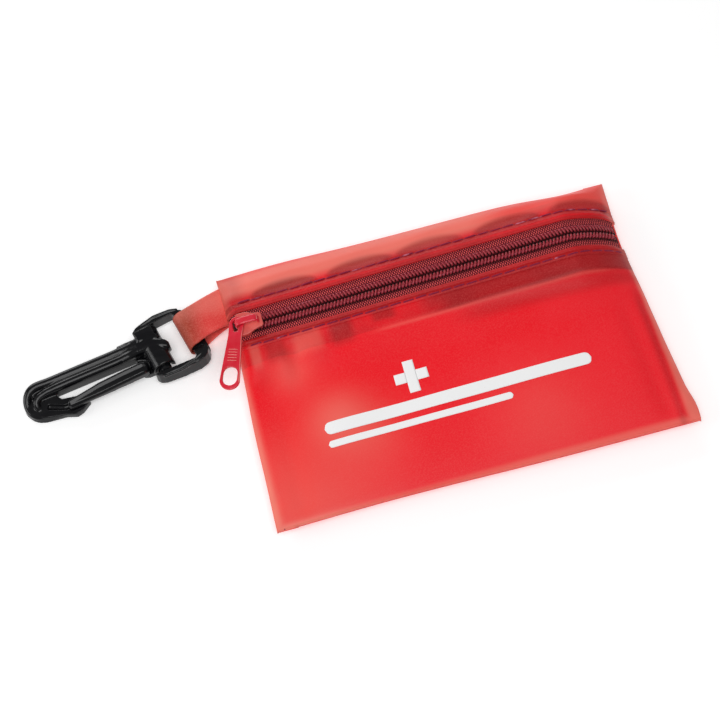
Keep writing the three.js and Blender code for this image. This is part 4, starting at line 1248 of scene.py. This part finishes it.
def make_mark():
    """A plain cross with two plain stripes under it."""
    arm, reach, lap = 1.75 * MM, 5.4 * MM, 0.08 * MM
    cx, cy = -14.5 * MM, -8.0 * MM
    patches = [
        printed_bar(cx - arm, cx + arm, cy - reach, cy + reach, False),
        printed_bar(cx - reach, cx - arm + lap, cy - arm, cy + arm, False),
        printed_bar(cx + arm - lap, cx + reach, cy - arm, cy + arm, False),
        printed_bar(-45 * MM, 41 * MM, -19.6 * MM, -15.6 * MM, True),
        printed_bar(-45 * MM, 14 * MM, -23.8 * MM, -21.6 * MM, True),
    ]
    mark = new_object("printed_cross_and_stripes", *joined(patches), INK)
    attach(mark, "pouch")


def packet(node, material, rim, crimp):
    """A sealed packet: a crimped flat rim all round, and what it holds showing as a raised middle."""
    lo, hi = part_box(node)
    width, depth, height = (hi[k] - lo[k] for k in range(3))
    u = np.linspace(0, 1, 90)
    v = np.linspace(0, 1, 60)
    x = lo[0] + width * u
    y = lo[1] + depth * v
    inside = np.minimum(np.minimum(x - lo[0], hi[0] - x)[:, None], np.minimum(y - lo[1], hi[1] - y)[None, :])
    puff = smooth(rim * 0.8, rim * 2.1, inside) ** 0.8
    sag = 1 - 0.12 * np.sin(u * 7 + lo[0] * 900)[:, None] * np.sin(v * 5 + 1)[None, :]
    foil = 0.16 * MM
    ridge = 0.05 * MM * np.sin(inside / crimp * 2 * math.pi) * (inside < rim)
    top = lo[2] + foil + (height - foil) * puff * np.minimum(sag, 1) + np.maximum(ridge, -foil * 0.4)
    grid_x, grid_y = np.meshgrid(x, y, indexing="ij")
    outer = points_of(grid_x, grid_y, top)
    inner = points_of(grid_x, grid_y, lo[2])
    belongs(new_object("packed_" + node, *shell_data(outer, inner), material), "pouch", node)


def make_leaflet():
    """A sheet of paper folded twice into three layers."""
    lo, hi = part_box("first_aid_leaflet")
    layer = (hi[2] - lo[2] - 0.02 * MM) / 3
    reach = hi[1] - lo[1] - layer
    ys, zs = [], []
    for k in range(3):
        run = np.linspace(0, reach, 12) if k % 2 == 0 else np.linspace(reach, 0, 12)
        ys.extend(lo[1] + layer / 2 + run)
        zs.extend(np.full(12, lo[2] + layer * (k + 0.5)))
        if k < 2:
            side = 1 if k % 2 == 0 else -1
            for angle in np.radians([-50, 0, 50]):
                ys.append(lo[1] + layer / 2 + (reach if side > 0 else 0) + side * layer / 2 * math.cos(angle))
                zs.append(lo[2] + layer * (k + 1) + layer / 2 * math.sin(angle))
    x, y = np.meshgrid(np.linspace(lo[0], hi[0], 30), ys, indexing="ij")
    grid = points_of(x, y, zs)
    leaflet = centred_sheet("folded_leaflet", grid, 0.1 * MM, LEAFLET_PAPER)
    belongs(leaflet, "pouch", "first_aid_leaflet")


def make_supplies():
    make_leaflet()
    for k in (1, 2):
        packet(f"gauze_pad_{k}", GAUZE_PAPER, 4 * MM, 1.1 * MM)
    for k in (1, 2, 3):
        packet(f"antiseptic_wipe_{k}", FOIL, 4 * MM, 0.9 * MM)
    for k in range(1, 6):
        packet(f"adhesive_bandage_{k}", WRAPPER, 3 * MM, 0.8 * MM)
    packet("ointment_sachet", FOIL, 3 * MM, 0.9 * MM)


# ---------------------------------------------------------------- studio
CAMERA_AZIMUTH, CAMERA_ELEVATION = math.radians(-8.33), math.radians(64.53)
CAMERA_ROLL = math.radians(-7.156)
CAMERA_DISTANCE = 0.42476
CAMERA_SLIDE = Vector((0.02841, 0.00149))


def make_camera():
    az, el = CAMERA_AZIMUTH, CAMERA_ELEVATION
    back = Vector((math.sin(az) * math.cos(el), -math.cos(az) * math.cos(el), math.sin(el)))
    right = Vector((0, 0, 1)).cross(back).normalized()
    up = back.cross(right)
    c, s = math.cos(CAMERA_ROLL), math.sin(CAMERA_ROLL)
    right, up = c * right + s * up, c * up - s * right
    place_at = back * CAMERA_DISTANCE - right * CAMERA_SLIDE.x - up * CAMERA_SLIDE.y
    data = bpy.data.cameras.new("camera")
    data.lens = 66.5
    data.clip_start = 0.01
    camera = bpy.data.objects.new("camera", data)
    turn = Matrix((right, up, back)).transposed()
    camera.matrix_world = Matrix.Translation(place_at) @ turn.to_4x4()
    bpy.context.scene.collection.objects.link(camera)
    bpy.context.scene.camera = camera


def area_light(name, place_at, size, power):
    data = bpy.data.lights.new(name, "AREA")
    data.shape = "RECTANGLE"
    data.size, data.size_y = size
    data.energy = power
    light = bpy.data.objects.new(name, data)
    light.location = place_at
    direction = Vector((0, 0, 0.01)) - light.location
    light.rotation_euler = direction.to_track_quat("-Z", "Y").to_euler()
    bpy.context.scene.collection.objects.link(light)


def make_studio():
    white = (1, 1, 1, 1)
    s = Shader("pale_floor", rough=0.9, specular=0.1, Emission_Strength=0.28, Emission_Color=white)
    paint = s.finished(s.mix(s.noise(3, 2), (0.88, 0.88, 0.88), (0.90, 0.90, 0.90)))
    reach = 3.0
    verts = [(-reach, -reach, 0), (reach, -reach, 0), (reach, reach, 0), (-reach, reach, 0)]
    floor = new_object("floor", verts, [(0, 1, 2, 3)], paint, shade=False)
    floor.location.z = min(cad_box[0][2], 0) - 0.05 * MM
    world = bpy.data.worlds.new("studio")
    world.use_nodes = True
    sky = world.node_tree.nodes["Background"]
    sky.inputs[0].default_value = white
    sky.inputs[1].default_value = 0.22
    bpy.context.scene.world = world
    area_light("overhead", (-0.05, -0.30, 0.75), (0.7, 0.5), 4.0)
    area_light("back_softbox", (-0.15, 0.85, 0.32), (0.9, 0.35), 3.2)
    area_light("left_softbox", (-0.8, 0.05, 0.35), (0.4, 0.4), 1.6)
    bpy.context.scene.view_settings.view_transform = "Standard"


make_camera()
make_studio()
make_panels()
make_tapes()
make_coils()
make_stitching()
make_slider()
make_tab()
make_ring()
make_hook()
make_gate()
make_strap()
make_mark()
make_supplies()
